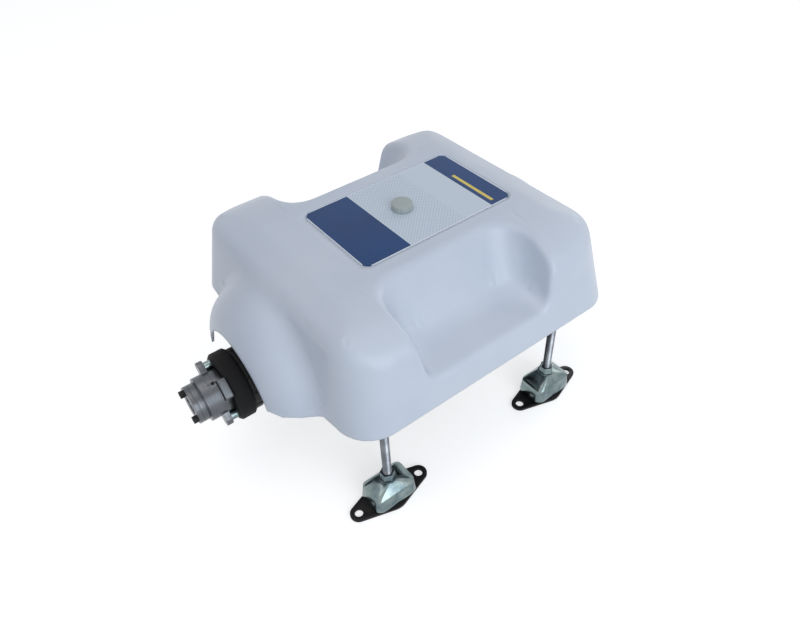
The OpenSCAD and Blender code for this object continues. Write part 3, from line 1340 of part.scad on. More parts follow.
module hub_set_screw() color([0.2, 0.2, 0.22]) at_frame() turned(set_turn)
    translate([hub_bore_d / 2 + over, set_y, shaft_z]) rotate([0, 90, 0]) difference() {
        cylinder(d = set_screw_d, h = (hub_d - hub_bore_d) / 2 - over);
        translate([0, 0, (hub_d - hub_bore_d) / 2 - 2 * over]) cylinder(d = set_screw_d / 2, h = 2 * over, $fn = 6);
    }

cover();
label_plate();
knob();
knob_screw();
knob_bush();
cover_post();
cover_pads();
foot(stud_x, stud_ys[0]);  // foot_front_right
foot(-stud_x, stud_ys[0]);  // foot_front_left
foot(stud_x, stud_ys[1]);  // foot_rear_right
foot(-stud_x, stud_ys[1]);  // foot_rear_left
cap(stud_x, stud_ys[0]);  // cap_front_right
cap(-stud_x, stud_ys[0]);  // cap_front_left
cap(stud_x, stud_ys[1]);  // cap_rear_right
cap(-stud_x, stud_ys[1]);  // cap_rear_left
mount_rubbers();
mount_studs();
cap_nuts();
height_nuts();
clamp_nuts();
right_rail();
left_rail();
front_plate();
rear_plate();
rear_crossmember();
frame_screws();
motor_housing();
front_end_bell();
rear_end_bell();
stator_core();
stator_windings();
rotor_core();
rotor_magnets();
output_shaft();
bearing_outer_rings();
bearing_inner_rings();
bearing_balls();
thrust_housing();
shaft_seal();
motor_screws();
fan();
fan_cowl();
terminal_block();
phase_bars();
controller_tray();
controller_base();
controller_housing();
controller_terminals();
gland_bracket();
cable_glands();
drive_flange();
flange_bolts();
rubber_disc();
coupling_spacers();
coupling_bolts();
coupling_hub();
clamp_screws();
hub_set_screw();
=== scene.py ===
import math

import bmesh
import bpy
import numpy as np
from mathutils import Matrix, Vector


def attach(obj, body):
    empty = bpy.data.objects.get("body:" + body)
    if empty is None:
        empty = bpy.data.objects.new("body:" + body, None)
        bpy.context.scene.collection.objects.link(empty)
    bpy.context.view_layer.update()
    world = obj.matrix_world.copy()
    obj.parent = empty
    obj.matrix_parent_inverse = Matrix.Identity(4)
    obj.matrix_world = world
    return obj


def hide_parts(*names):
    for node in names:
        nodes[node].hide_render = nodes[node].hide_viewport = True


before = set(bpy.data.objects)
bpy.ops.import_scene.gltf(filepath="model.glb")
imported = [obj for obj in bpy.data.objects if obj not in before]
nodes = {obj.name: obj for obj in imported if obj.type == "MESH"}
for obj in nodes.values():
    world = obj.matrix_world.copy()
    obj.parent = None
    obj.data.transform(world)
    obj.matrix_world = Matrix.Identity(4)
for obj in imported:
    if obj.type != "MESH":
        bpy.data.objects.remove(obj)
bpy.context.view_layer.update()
scene = bpy.context.scene
shiftY = 43  # the working frame of the sizes below lies this many mm behind the cover's middle


# Camera, at the photograph's angle and distance
camera = {
    "place": (0.61667, -0.39153, 0.80004),
    "right": (0.60516, 0.79498, -0.04232),
    "up": (-0.52609, 0.43924, 0.72821),
    "back": (0.59750, -0.41842, 0.68404),
    "lens": 30.40,
    "sensor": 36,
}


def makeCamera(c):
    data = bpy.data.cameras.new("camera")
    data.lens, data.sensor_width, data.sensor_fit = c["lens"], c["sensor"], "HORIZONTAL"
    data.clip_start, data.clip_end = 0.05, 30
    eye = bpy.data.objects.new("camera", data)
    scene.collection.objects.link(eye)
    rows = [[c["right"][i], c["up"][i], c["back"][i], c["place"][i]] for i in range(3)]
    eye.matrix_world = Matrix(rows + [[0, 0, 0, 1]])
    scene.camera = eye


makeCamera(camera)
print("camera set")


# Node groups that several finishes share
def linear(hexColor):
    parts = [int(hexColor[i:i + 2], 16) / 255 for i in (1, 3, 5)]
    return [p / 12.92 if p <= 0.04045 else ((p + 0.055) / 1.055) ** 2.4 for p in parts] + [1]


def addNode(tree, kind, **values):
    node = tree.nodes.new(kind)
    for key, value in values.items():
        setattr(node, key, value)
    return node


def join(tree, start, end):
    tree.links.new(start, end)


def mathNode(tree, operation, a, b=None, clamp=False):
    node = addNode(tree, "ShaderNodeMath", operation=operation, use_clamp=clamp)
    for socket, value in zip(node.inputs, (a, b)):
        if value is None:
            continue
        if isinstance(value, (int, float)):
            socket.default_value = value
        else:
            join(tree, value, socket)
    return node.outputs[0]


def blendColor(tree, share, a, b):
    node = addNode(tree, "ShaderNodeMix", data_type="RGBA")
    for socket, value in zip((node.inputs[0], node.inputs[6], node.inputs[7]), (share, a, b)):
        if hasattr(value, "is_output"):
            join(tree, value, socket)
        else:
            socket.default_value = value
    return node.outputs[2]


def mapRange(tree, value, low, high, toLow, toHigh):
    node = addNode(tree, "ShaderNodeMapRange")
    join(tree, value, node.inputs[0])
    for socket, number in zip(node.inputs[1:5], (low, high, toLow, toHigh)):
        socket.default_value = number
    return node.outputs[0]


def makeGroup(name, inputs, outputs):
    tree = bpy.data.node_groups.new(name, "ShaderNodeTree")
    for label, default in inputs:
        socket = tree.interface.new_socket(label, in_out="INPUT", socket_type="NodeSocketFloat")
        socket.default_value = default
    for label in outputs:
        tree.interface.new_socket(label, in_out="OUTPUT", socket_type="NodeSocketFloat")
    return tree, tree.nodes.new("NodeGroupInput"), tree.nodes.new("NodeGroupOutput")


# Soft clouds and fine speckles over a surface
def makeMottle():
    tree, start, end = makeGroup("mottle", [("Clouds", 6), ("Speckles", 900)], ["Clouds", "Speckles"])
    place = addNode(tree, "ShaderNodeTexCoord").outputs["Object"]
    for label, detail in (("Clouds", 4), ("Speckles", 2)):
        noise = addNode(tree, "ShaderNodeTexNoise")
        noise.inputs["Detail"].default_value = detail
        join(tree, place, noise.inputs["Vector"])
        join(tree, start.outputs[label], noise.inputs["Scale"])
        join(tree, noise.outputs[0], end.inputs[label])
    return tree


# Fine lines along one way, for brushed, drawn and turned metal
def makeStreaks():
    tree, start, end = makeGroup(
        "streaks", [("Along X", 40), ("Along Y", 40), ("Along Z", 40)], ["Lines"])
    place = addNode(tree, "ShaderNodeTexCoord").outputs["Object"]
    scale = addNode(tree, "ShaderNodeCombineXYZ")
    for i, label in enumerate(("Along X", "Along Y", "Along Z")):
        join(tree, start.outputs[label], scale.inputs[i])
    stretched = addNode(tree, "ShaderNodeVectorMath", operation="MULTIPLY")
    join(tree, place, stretched.inputs[0])
    join(tree, scale.outputs[0], stretched.inputs[1])
    noise = addNode(tree, "ShaderNodeTexNoise")
    noise.inputs["Scale"].default_value = 1
    noise.inputs["Detail"].default_value = 5
    noise.inputs["Roughness"].default_value = 0.65
    join(tree, stretched.outputs[0], noise.inputs["Vector"])
    join(tree, noise.outputs[0], end.inputs["Lines"])
    return tree


cloudLow = 0.35
cloudHigh = 0.65
mottle = makeMottle()
streaks = makeStreaks()

# Finishes: colour, its darker partner, roughness from and to, metal, height of the grain in mm
finishes = {
    "coverWhite": dict(color="#ccd4e0", shade="#c4cddb",
                       rough=(0.34, 0.46), speckles=1500, grain=0.02, coat=0.12),
    "knobGrey": dict(color="#a9b2b0", shade="#9aa3a2",
                     rough=(0.5, 0.62), speckles=1200, grain=0.05),
    "blackRubber": dict(color="#0c0c0e", shade="#121214",
                        rough=(0.6, 0.8), speckles=900, grain=0.05, spec=0.2),
    "blackSteel": dict(color="#0c0c0e", shade="#141416",
                       rough=(0.4, 0.58), speckles=1400, grain=0.02, spec=0.3),
    "zinc": dict(color="#8d9a99", shade="#64757a",
                 rough=(0.12, 0.26), metal=1, clouds=60, speckles=700, grain=0.01),
    "studZinc": dict(color="#8e9297", shade="#6b7077",
                     rough=(0.14, 0.26), metal=1, clouds=40, speckles=900, grain=0.01),
    "hubSteel": dict(color="#707377", shade="#4b4e53",
                     rough=(0.24, 0.4), metal=1, lines=(60, 900, 60), grain=0.02),
    "steel": dict(color="#b8bbbf", shade="#8d9196",
                  rough=(0.16, 0.34), metal=1, lines=(60, 1400, 60), grain=0.02),
    "alloy": dict(color="#a6abb0", shade="#8f9499",
                  rough=(0.32, 0.5), metal=1, lines=(900, 30, 900), grain=0.02),
    "castAlloy": dict(color="#8c9095", shade="#7a7e83",
                      rough=(0.42, 0.62), metal=1, speckles=500, grain=0.12),
    "motorPaint": dict(color="#3f4449", shade="#373b40",
                       rough=(0.38, 0.55), speckles=700, grain=0.06, coat=0.15),
    "lamination": dict(color="#7b7f84", shade="#4b4e52",
                       rough=(0.35, 0.55), metal=1, lines=(8, 2600, 8), grain=0.05),
    "copper": dict(color="#c06c3a", shade="#8e4a24",
                   rough=(0.22, 0.4), metal=1, lines=(900, 900, 200), grain=0.08),
    "busCopper": dict(color="#c9794b", shade="#a9603a",
                      rough=(0.2, 0.36), metal=1, lines=(900, 20, 900), grain=0.01),
    "magnet": dict(color="#5a5d61", shade="#484b4f",
                   rough=(0.3, 0.45), metal=1, clouds=40, speckles=800, grain=0.02),
    "blackPlastic": dict(color="#18181b", shade="#222226",
                         rough=(0.4, 0.58), speckles=1300, grain=0.05),
    "brass": dict(color="#c6a562", shade="#a98a4b",
                  rough=(0.2, 0.36), metal=1, lines=(500, 500, 60), grain=0.01),
}


def makeFinish(name, f):
    material = bpy.data.materials.new(name)
    material.use_nodes = True
    tree = material.node_tree
    shader = tree.nodes["Principled BSDF"]
    shader.inputs["Metallic"].default_value = f.get("metal", 0)
    shader.inputs["Specular IOR Level"].default_value = f.get("spec", 0.5)
    shader.inputs["Coat Weight"].default_value = f.get("coat", 0)
    shader.inputs["Coat Roughness"].default_value = 0.25
    spots = addNode(tree, "ShaderNodeGroup", node_tree=mottle)
    spots.inputs["Clouds"].default_value = f.get("clouds", 7)
    spots.inputs["Speckles"].default_value = f.get("speckles", 900)
    share, height = spots.outputs["Clouds"], spots.outputs["Speckles"]
    if "lines" in f:
        lines = addNode(tree, "ShaderNodeGroup", node_tree=streaks)
        for socket, value in zip(lines.inputs, f["lines"]):
            socket.default_value = value
        height = lines.outputs["Lines"]
        share = mathNode(tree, "MULTIPLY", mathNode(tree, "ADD", share, height), 0.5)
    mask = mapRange(tree, share, cloudLow, cloudHigh, 0, 1)
    join(tree, blendColor(tree, mask, linear(f["color"]), linear(f["shade"])), shader.inputs["Base Color"])
    join(tree, mapRange(tree, share, 0.3, 0.7, *f["rough"]), shader.inputs["Roughness"])
    bump = addNode(tree, "ShaderNodeBump")
    bump.inputs["Strength"].default_value = 0.35
    bump.inputs["Distance"].default_value = f["grain"] / 1000
    join(tree, height, bump.inputs["Height"])
    join(tree, bump.outputs[0], shader.inputs["Normal"])
    return material


materials = {name: makeFinish(name, f) for name, f in finishes.items()}
print("finishes made:", len(materials))


# Label: two navy blocks, a fine grey pattern between them and a plain yellow bar, places in mm
label = {
    "left": -73.7, "right": 73.7, "front": -100.2, "rear": 142.9,
    "navyFront": -30.0, "patternEnd": 60.0, "navyRear": 106.3,
    "barFrom": 113.0, "barTo": 118.0, "barLeft": -18.0, "barRight": 64.0, "border": 1.1,
    "pitch": 5.4, "stroke": 0.34, "line": 0.9,
    "navy": "#083f76", "navyShade": "#06386c", "pale": "#cdd8e4", "grey": "#a3b3c6", "yellow": "#dcc766",
    "white": "#e9eef4",
}


def between(tree, value, low, high):
    above = mathNode(tree, "GREATER_THAN", value, low)
    return mathNode(tree, "MULTIPLY", above, mathNode(tree, "LESS_THAN", value, high))


def makeLabelFilm(g):
    material = bpy.data.materials.new("labelFilm")
    material.use_nodes = True
    tree = material.node_tree
    shader = tree.nodes["Principled BSDF"]
    shader.inputs["Roughness"].default_value = 0.34
    shader.inputs["Specular IOR Level"].default_value = 0.25
    shader.inputs["Coat Weight"].default_value = 0.08
    shader.inputs["Coat Roughness"].default_value = 0.12
    place = addNode(tree, "ShaderNodeTexCoord").outputs["Object"]
    split = addNode(tree, "ShaderNodeSeparateXYZ")
    join(tree, place, split.inputs[0])
    x = mathNode(tree, "MULTIPLY", split.outputs[0], 1000)
    y = mathNode(tree, "SUBTRACT", mathNode(tree, "MULTIPLY", split.outputs[1], 1000), shiftY)
    diagonals = []
    for sign in ("ADD", "SUBTRACT"):
        turned = mathNode(tree, sign, x, y)
        cell = mathNode(tree, "FRACT", mathNode(tree, "DIVIDE", turned, g["pitch"]))
        diagonals.append(mathNode(tree, "LESS_THAN", cell, g["stroke"]))
    lattice = mathNode(tree, "MULTIPLY", diagonals[0], diagonals[1])
    field = between(tree, y, g["navyFront"], g["patternEnd"])
    spots = addNode(tree, "ShaderNodeGroup", node_tree=mottle)
    spots.inputs["Clouds"].default_value = 12
    navy = blendColor(tree, mapRange(tree, spots.outputs["Clouds"], cloudLow, cloudHigh, 0, 1),
                      linear(g["navy"]), linear(g["navyShade"]))
    color = blendColor(tree, mathNode(tree, "MULTIPLY", lattice, field), linear(g["pale"]), linear(g["grey"]))
    front = mathNode(tree, "LESS_THAN", y, g["navyFront"])
    rear = mathNode(tree, "GREATER_THAN", y, g["navyRear"])
    color = blendColor(tree, mathNode(tree, "MAXIMUM", front, rear), color, navy)
    bar = mathNode(tree, "MULTIPLY", between(tree, y, g["barFrom"], g["barTo"]),
                   between(tree, x, g["barLeft"], g["barRight"]))
    color = blendColor(tree, bar, color, linear(g["yellow"]))
    insideX = between(tree, x, g["left"] + g["border"], g["right"] - g["border"])
    insideY = between(tree, y, g["front"] + g["border"], g["rear"] - g["border"])
    color = blendColor(tree, mathNode(tree, "MULTIPLY", insideX, insideY), linear(g["white"]), color)
    join(tree, color, shader.inputs["Base Color"])
    bump = addNode(tree, "ShaderNodeBump")
    bump.inputs["Strength"].default_value = 0.2
    bump.inputs["Distance"].default_value = 0.00005
    join(tree, spots.outputs["Speckles"], bump.inputs["Height"])
    join(tree, bump.outputs[0], shader.inputs["Normal"])
    return material


materials["labelFilm"] = makeLabelFilm(label)

# Which finish each piece of the frame wears
worn = {
    "coverWhite": ["cover"], "labelFilm": ["label_plate"], "knobGrey": ["knob"],
    "blackRubber": ["cover_pads", "mount_rubbers", "shaft_seal", "rubber_disc"],
    "blackSteel": ["foot_front_right", "foot_front_left", "foot_rear_right", "foot_rear_left", "frame_screws",
                   "motor_screws", "drive_flange", "flange_bolts", "clamp_screws", "hub_set_screw"],
    "zinc": ["cap_front_right", "cap_front_left", "cap_rear_right", "cap_rear_left", "cap_nuts",
             "height_nuts", "clamp_nuts", "coupling_spacers", "coupling_bolts"],
    "studZinc": ["mount_studs"],
    "hubSteel": ["coupling_hub"],
    "steel": ["knob_screw", "output_shaft", "bearing_outer_rings", "bearing_inner_rings", "bearing_balls"],
    "alloy": ["cover_post", "right_rail", "left_rail", "front_plate", "rear_plate", "rear_crossmember",
              "controller_tray", "controller_base", "gland_bracket"],
    "castAlloy": ["thrust_housing"],
    "motorPaint": ["motor_housing", "front_end_bell", "rear_end_bell", "fan_cowl"],
    "lamination": ["stator_core", "rotor_core"],
    "copper": ["stator_windings"],
    "busCopper": ["phase_bars"],
    "magnet": ["rotor_magnets"],
    "blackPlastic": ["fan", "terminal_block", "controller_housing", "cable_glands"],
    "brass": ["knob_bush", "controller_terminals"],
}
for finish, names in worn.items():
    for name in names:
        nodes[name].data.materials.clear()
        nodes[name].data.materials.append(materials[finish])
print("frame dressed")


def makePiece(name, bm, finish, body, replaced=()):
    mesh = bpy.data.meshes.new(name)
    bm.to_mesh(mesh)
    bm.free()
    piece = bpy.data.objects.new(name, mesh)
    scene.collection.objects.link(piece)
    mesh.materials.append(materials[finish])
    for face in mesh.polygons:
        face.use_smooth = True
    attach(piece, body)
    if replaced:
        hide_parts(*replaced)
    return piece


# Cover: the frame's own shell, divided finer and settled on the form that its sizes describe
coverForm = {
    "width": 425, "length": 435.4, "rimZ": 160, "topZ": 286.7, "wall": 3.6,
    "sideDraft": 10, "endDraft": 8, "cornerR": 50, "edgeBlend": 15,
    "sideSlope": 26, "sideSlopeX": 143, "endSlope": 18.5, "endSlopeY": 160, "slopeBlend": 3,
    "flatHalf": 88, "crownDrop": 4.5,
    "noseZ": 130, "noseR": 126, "noseRound": 60, "noseFront": 268, "noseRear": 256,
    "noseFillet": 20, "noseOpen": 80,
    "recessY": -8, "recessHalf": 98, "recessDraft": 9, "recessTopX": 103, "recessLean": 25.5,
    "recessFloorZ": 198, "recessFloorSlope": 6.2, "recessCorner": 45, "recessFloorBlend": 20, "recessLip": 9,
    "pocketHalf": 78, "pocketFront": -104, "pocketRear": 147,
    "cuts": 3, "steps": 5, "reach": 0.9, "longestStep": 2, "leastSlope": 0.05, "probe": 0.05, "touch": 0.02,
    "sliver": 1.5, "sliverRise": 10, "sliverSide": 4, "sliverEnd": 5, "sliverDeep": 17,
    "mends": 3, "facing": 0.86, "rounds": 3, "nearSurface": 1, "holdBack": 1.5, "sharpAngle": 42,
}


def softMax(a, b, k):
    return np.maximum(a, b) + np.maximum(k - np.abs(a - b), 0) ** 2 / (4 * k)


def slopeOf(degrees):
    return math.tan(math.radians(degrees)), math.cos(math.radians(degrees)), math.sin(math.radians(degrees))


def roundedBox(x, y, halfX, halfY, r):
    dx, dy = np.abs(x) - halfX + r, np.abs(y) - halfY + r
    return np.minimum(np.maximum(dx, dy), 0) + np.hypot(np.maximum(dx, 0), np.maximum(dy, 0)) - r


def coverField(p, c):
    x, y, z = p[:, 0], p[:, 1], p[:, 2]
    sideTan, sideCos, _ = slopeOf(c["sideDraft"])
    rise, down, across = z - c["rimZ"], z - c["topZ"], np.abs(x)
    halfWidth = c["width"] / 2 - rise * sideTan
    halfLength = c["length"] / 2 - rise * slopeOf(c["endDraft"])[0]
    wall = roundedBox(x, y, halfWidth, halfLength, c["cornerR"] + rise * sideTan / 2) * sideCos
    crown = c["crownDrop"] * (np.maximum(across - c["flatHalf"], 0) / (c["sideSlopeX"] - c["flatHalf"])) ** 2
    _, cosS, sinS = slopeOf(c["sideSlope"])
    _, cosE, sinE = slopeOf(c["endSlope"])
    side = (across - c["sideSlopeX"]) * sinS + down * cosS
    end = (np.abs(y) - c["endSlopeY"]) * sinE + down * cosE
    roof = softMax(softMax(side, end, 2 * c["slopeBlend"]), down + crown, c["slopeBlend"])
    body = softMax(wall, roof, c["edgeBlend"])
    leanTan, leanCos, _ = slopeOf(c["recessLean"])
    endTan, endCos, _ = slopeOf(c["recessDraft"])
    up = z - c["recessFloorZ"]
    inner = (c["recessTopX"] - down * leanTan - across) * leanCos
    bed = (c["width"] / 2 - across) * slopeOf(c["recessFloorSlope"])[0] - up
    ends = (np.abs(y - np.sign(x) * c["recessY"]) - c["recessHalf"] - up * endTan) * endCos
    recess = softMax(softMax(inner, ends, c["recessCorner"]), bed, c["recessFloorBlend"])
    reach = np.where(y < 0, c["noseFront"], c["noseRear"])
    aside = np.hypot(x, z - c["noseZ"]) - c["noseR"] + c["noseRound"]
    along = np.abs(y) - reach + c["noseRound"]
    nose = (np.minimum(np.maximum(aside, along), 0)
            + np.hypot(np.maximum(aside, 0), np.maximum(along, 0)) - c["noseRound"])
    return -softMax(-softMax(body, -recess, c["recessLip"]), -nose, c["noseFillet"])


def coverSlope(p, c):
    out = np.empty(p.shape)
    for i in range(3):
        step = np.zeros(3)
        step[i] = c["probe"]
        out[:, i] = (coverField(p + step, c) - coverField(p - step, c)) / (2 * c["probe"])
    return out


def settleOn(p, level, free, c):
    for _ in range(c["steps"]):
        slope = coverSlope(p, c) * free
        gap = (coverField(p, c) - level) / np.maximum((slope ** 2).sum(1), c["leastSlope"])
        p = p - slope * np.clip(gap, -c["longestStep"], c["longestStep"])[:, None]
    return p


def clearOfEdges(p, c):
    y = p.y - shiftY
    besidePocket = abs(p.x) < c["pocketHalf"] + c["sliverSide"]
    alongPocket = c["pocketFront"] - c["sliverEnd"] < y < c["pocketRear"] + c["sliverEnd"]
    onTop = p.z > c["topZ"] - c["sliverDeep"]
    return p.z > c["rimZ"] + c["sliverRise"] and not (besidePocket and alongPocket and onTop)


# Where a face turns from the form's own slope, its points are evened out and settled again
def mendFolds(bm, points, fixed, c):
    corners = [[v.index for v in f.verts] for f in bm.faces]
    around = [[e.other_vert(v).index for e in v.link_edges] for v in bm.verts]
    for _ in range(c["mends"]):
        for v, p in zip(bm.verts, points):
            v.co = p
        bm.normal_update()
        middles = np.array([f.calc_center_median() for f in bm.faces])
        level, slope = coverField(middles, c), coverSlope(middles, c)
        slope /= np.maximum(np.linalg.norm(slope, axis=1), 1e-6)[:, None]
        facing = (np.array([f.normal for f in bm.faces]) * slope).sum(1)
        outside = np.abs(level) < c["nearSurface"]
        inside = np.abs(level + c["wall"]) < c["nearSurface"]
        turned = (outside & (facing < c["facing"])) | (inside & (facing > -c["facing"]))
        marked = {i for face in np.nonzero(turned)[0] for i in corners[face] if not fixed[i]}
        if not marked:
            break
        rows = sorted(marked)
        surface = np.where(coverField(points[rows], c) > -c["wall"] / 2, 0, -c["wall"])
        for _ in range(c["rounds"]):
            points[rows] = np.array([points[around[i]].mean(axis=0) for i in rows])
        points[rows] = settleOn(points[rows], surface, np.ones(3), c)
    return points


def makeCover(c):
    bm = bmesh.new()
    bm.from_mesh(nodes["cover"].data)
    bmesh.ops.remove_doubles(bm, verts=bm.verts, dist=1e-5)
    bmesh.ops.dissolve_degenerate(bm, dist=c["sliver"] / 1000, edges=[
        e for e in bm.edges if all(clearOfEdges(v.co * 1000, c) for v in e.verts)])
    bmesh.ops.subdivide_edges(bm, edges=bm.edges, cuts=c["cuts"], use_grid_fill=True)
    bm.verts.ensure_lookup_table()
    points = np.array([v.co for v in bm.verts]) * 1000 - [0, shiftY, 0]
    level = coverField(points, c)
    inPocket = ((np.abs(points[:, 0]) < c["pocketHalf"]) & (points[:, 1] > c["pocketFront"])
                & (points[:, 1] < c["pocketRear"]) & (points[:, 2] > c["topZ"] - 2 * c["wall"]))
    onRim = points[:, 2] < c["rimZ"] + c["touch"]
    fromNose = np.hypot(points[:, 0], points[:, 2] - c["noseZ"])
    mouth = onRim | (fromNose < c["noseOpen"] + c["touch"])
    for surface in (0, -c["wall"]):
        near = (np.abs(level - surface) < c["reach"]) & ~inPocket & ~mouth
        points[near] = settleOn(points[near], surface, np.ones(3), c)
    rim = onRim & (np.abs(points[:, 2] - c["rimZ"]) < c["touch"]) & ~inPocket
    for surface in (0, -c["wall"]):
        near = rim & (np.abs(level - surface) < c["reach"])
        points[near] = settleOn(points[near], surface, np.array([1, 1, 0]), c)
    held = points[:, 2] < c["rimZ"] + c["holdBack"]
    held |= inPocket | (np.hypot(points[:, 0], points[:, 2] - c["noseZ"]) < c["noseOpen"] + c["holdBack"])
    points = mendFolds(bm, points, held, c)
    for v, p in zip(bm.verts, (points + [0, shiftY, 0]) / 1000):
        v.co = p
    return makePiece("coverShell", bm, "coverWhite", "cover_body", ["cover"])


coverShell = makeCover(coverForm)
coverShell.data.set_sharp_from_angle(angle=math.radians(coverForm["sharpAngle"]))
print("cover shaped:", len(coverShell.data.polygons), "faces")


# Mount studs with rolled threads, places in mm
thread = {
    "x": 186.8, "front": -167.9, "rear": 126.5, "radius": 6, "depth": 0.85, "pitch": 1.75,
    "chamfer": 1.3, "rows": 7, "sides": 28, "merge": 1e-4, "sharpAngle": 50,
}


def makeStuds(g):
    heights = [v.co.z * 1000 for v in nodes["mount_studs"].data.vertices]
    low, high = min(heights), max(heights)
    bm = bmesh.new()
    count = int((high - low - g["chamfer"]) / g["pitch"] * g["rows"])
    rise = (high - g["chamfer"] - low) / count
    profile = [(0, low)] + [(g["radius"], low + i * rise) for i in range(count + 1)]
    profile += [(g["radius"] - g["chamfer"], high), (0, high)]
    line = [bm.verts.new((r, 0, z)) for r, z in profile]
    edges = [bm.edges.new(pair) for pair in zip(line, line[1:])]
    bmesh.ops.spin(bm, geom=line + edges, cent=(0, 0, 0), axis=(0, 0, 1), angle=math.tau,
                   steps=g["sides"], use_merge=True)
    bmesh.ops.remove_doubles(bm, verts=bm.verts, dist=g["merge"])
    for v in bm.verts:
        r, turn = math.hypot(v.co.x, v.co.y), math.atan2(v.co.y, v.co.x) / math.tau
        if r < g["radius"] / 2:
            continue
        wave = abs((v.co.z / g["pitch"] - turn) % 1 - 0.5) * 2
        share = (r - g["depth"] * wave) / r if r > g["radius"] - 0.1 else 1
        v.co.x, v.co.y = v.co.x * share, v.co.y * share
    bmesh.ops.recalc_face_normals(bm, faces=bm.faces)
    first = list(bm.verts) + list(bm.edges) + list(bm.faces)
    for x in (-g["x"], g["x"]):
        for y in (g["front"], g["rear"]):
            copy = bmesh.ops.duplicate(bm, geom=first)["geom"]
            points = [e for e in copy if isinstance(e, bmesh.types.BMVert)]
            bmesh.ops.translate(bm, verts=points, vec=(x, y + shiftY, 0))
    bmesh.ops.delete(bm, geom=[e for e in first if isinstance(e, bmesh.types.BMVert)], context="VERTS")
    bmesh.ops.scale(bm, verts=bm.verts, vec=(0.001, 0.001, 0.001))
    return makePiece("threadedStuds", bm, "studZinc", "chassis", ["mount_studs"])


threadedStuds = makeStuds(thread)
threadedStuds.data.set_sharp_from_angle(angle=math.radians(thread["sharpAngle"]))
print("studs threaded")

# Pieces of the frame with their edges broken: finish, body, slot, width of the edge in mm
softened = {
    "cap_front_right": ("zinc", "chassis", "zinc", 0.5), "cap_front_left": ("zinc", "chassis", "zinc", 0.5),
    "cap_rear_right": ("zinc", "chassis", "zinc", 0.5), "cap_rear_left": ("zinc", "chassis", "zinc", 0.5),
    "foot_front_right": ("blackSteel", "chassis", "black_steel", 0.4),
    "foot_front_left": ("blackSteel", "chassis", "black_steel", 0.4),
    "foot_rear_right": ("blackSteel", "chassis", "black_steel", 0.4),
    "foot_rear_left": ("blackSteel", "chassis", "black_steel", 0.4),
    "cap_nuts": ("zinc", "chassis", "zinc", 0.35), "height_nuts": ("zinc", "chassis", "zinc", 0.35),
    "clamp_nuts": ("zinc", "chassis", "zinc", 0.35), "knob": ("knobGrey", "knob_body", "knob_grey", 0.5),
    "coupling_hub": ("hubSteel", "shaft", "hub_steel", 0.4),
    "rubber_disc": ("blackRubber", "shaft", "black_rubber", 0.4),
    "drive_flange": ("blackSteel", "shaft", "black_steel", 0.4),
    "coupling_bolts": ("zinc", "shaft", "zinc", 0.25),
    "right_rail": ("alloy", "chassis", "alloy", 0.4), "left_rail": ("alloy", "chassis", "alloy", 0.4),
    "front_plate": ("alloy", "chassis", "alloy", 0.4), "rear_plate": ("alloy", "chassis", "alloy", 0.4),
}
edgeAngle = math.radians(32)
flatAngle = math.radians(0.6)


def soften(name, finish, body, slot, width):
    bm = bmesh.new()
    bm.from_mesh(nodes[name].data)
    bmesh.ops.remove_doubles(bm, verts=bm.verts, dist=1e-6)
    bmesh.ops.dissolve_limit(bm, angle_limit=flatAngle, verts=bm.verts, edges=bm.edges)
    sharp = [e for e in bm.edges if len(e.link_faces) == 2 and e.calc_face_angle() > edgeAngle]
    bmesh.ops.bevel(bm, geom=sharp, offset=width / 1000, segments=2, profile=0.5, affect="EDGES",
                    clamp_overlap=True, material=-1)
    piece = makePiece("soft" + name.title().replace("_", ""), bm, finish, body, [name])
    piece.data.set_sharp_from_angle(angle=edgeAngle)
    return piece


for name, values in softened.items():
    soften(name, *values)
print("edges broken:", len(softened))


# Floor, lights and world
studio = {
    "floor": 6, "floorColor": "#d8d8d8", "floorGlow": 0.62, "worldColor": "#e6ecf4", "world": 0.5,
    "lamps": [
        ("keyLamp", (-0.3, -0.5, 2.3), 1.8, 9, "#fff6f2"),
        ("sideLamp", (1.9, -0.1, 0.9), 1.5, 17, "#f1f8ff"),
        ("backLamp", (-0.4, 1.9, 1.0), 1.2, 5, "#ffffff"),
    ],
}


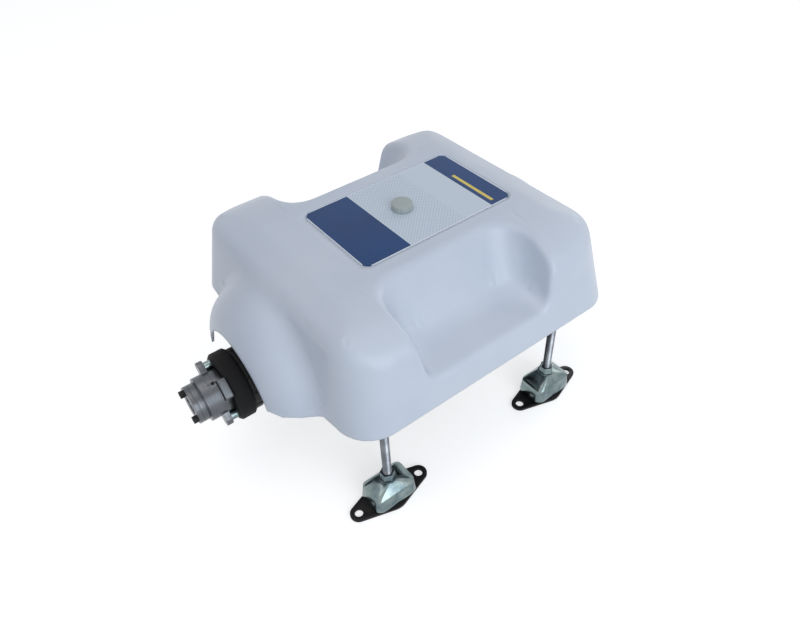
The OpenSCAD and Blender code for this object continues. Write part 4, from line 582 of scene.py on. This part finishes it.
# 1 for the rays that show the background: straight, mirrored or let through
def seenShare(tree):
    path = addNode(tree, "ShaderNodeLightPath")
    seen = mathNode(tree, "ADD", path.outputs["Is Camera Ray"], path.outputs["Is Glossy Ray"])
    return mathNode(tree, "ADD", seen, path.outputs["Is Transmission Ray"], clamp=True)


def makeStudio(g):
    bm = bmesh.new()
    bmesh.ops.create_grid(bm, x_segments=1, y_segments=1, size=g["floor"])
    bmesh.ops.translate(bm, verts=bm.verts, vec=(0, 0, -0.0005))
    mesh = bpy.data.meshes.new("floor")
    bm.to_mesh(mesh)
    bm.free()
    floor = bpy.data.objects.new("floor", mesh)
    scene.collection.objects.link(floor)
    material = bpy.data.materials.new("floorPale")
    material.use_nodes = True
    tree = material.node_tree
    shader = tree.nodes["Principled BSDF"]
    shader.inputs["Roughness"].default_value = 0.9
    shader.inputs["Base Color"].default_value = linear(g["floorColor"])
    shader.inputs["Emission Color"].default_value = (1, 1, 1, 1)
    glow = mathNode(tree, "MULTIPLY", seenShare(tree), g["floorGlow"])
    join(tree, glow, shader.inputs["Emission Strength"])
    mesh.materials.append(material)
    world = bpy.data.worlds.new("studio")
    world.use_nodes = True
    scene.world = world
    tree = world.node_tree
    background = tree.nodes["Background"]
    background.inputs["Color"].default_value = linear(g["worldColor"])
    background.inputs["Strength"].default_value = g["world"]
    white = addNode(tree, "ShaderNodeBackground")
    white.inputs["Color"].default_value = (1, 1, 1, 1)
    mix = addNode(tree, "ShaderNodeMixShader")
    join(tree, seenShare(tree), mix.inputs[0])
    join(tree, background.outputs[0], mix.inputs[1])
    join(tree, white.outputs[0], mix.inputs[2])
    join(tree, mix.outputs[0], tree.nodes["World Output"].inputs["Surface"])
    for name, place, size, power, color in g["lamps"]:
        data = bpy.data.lights.new(name, "AREA")
        data.size, data.energy, data.color = size, power, linear(color)[:3]
        lamp = bpy.data.objects.new(name, data)
        scene.collection.objects.link(lamp)
        lamp.location = place
        lamp.rotation_euler = (Vector((0, 0, 0.15)) - Vector(place)).to_track_quat("-Z", "Y").to_euler()


makeStudio(studio)
scene.view_settings.view_transform = "Standard"
print("studio lit")
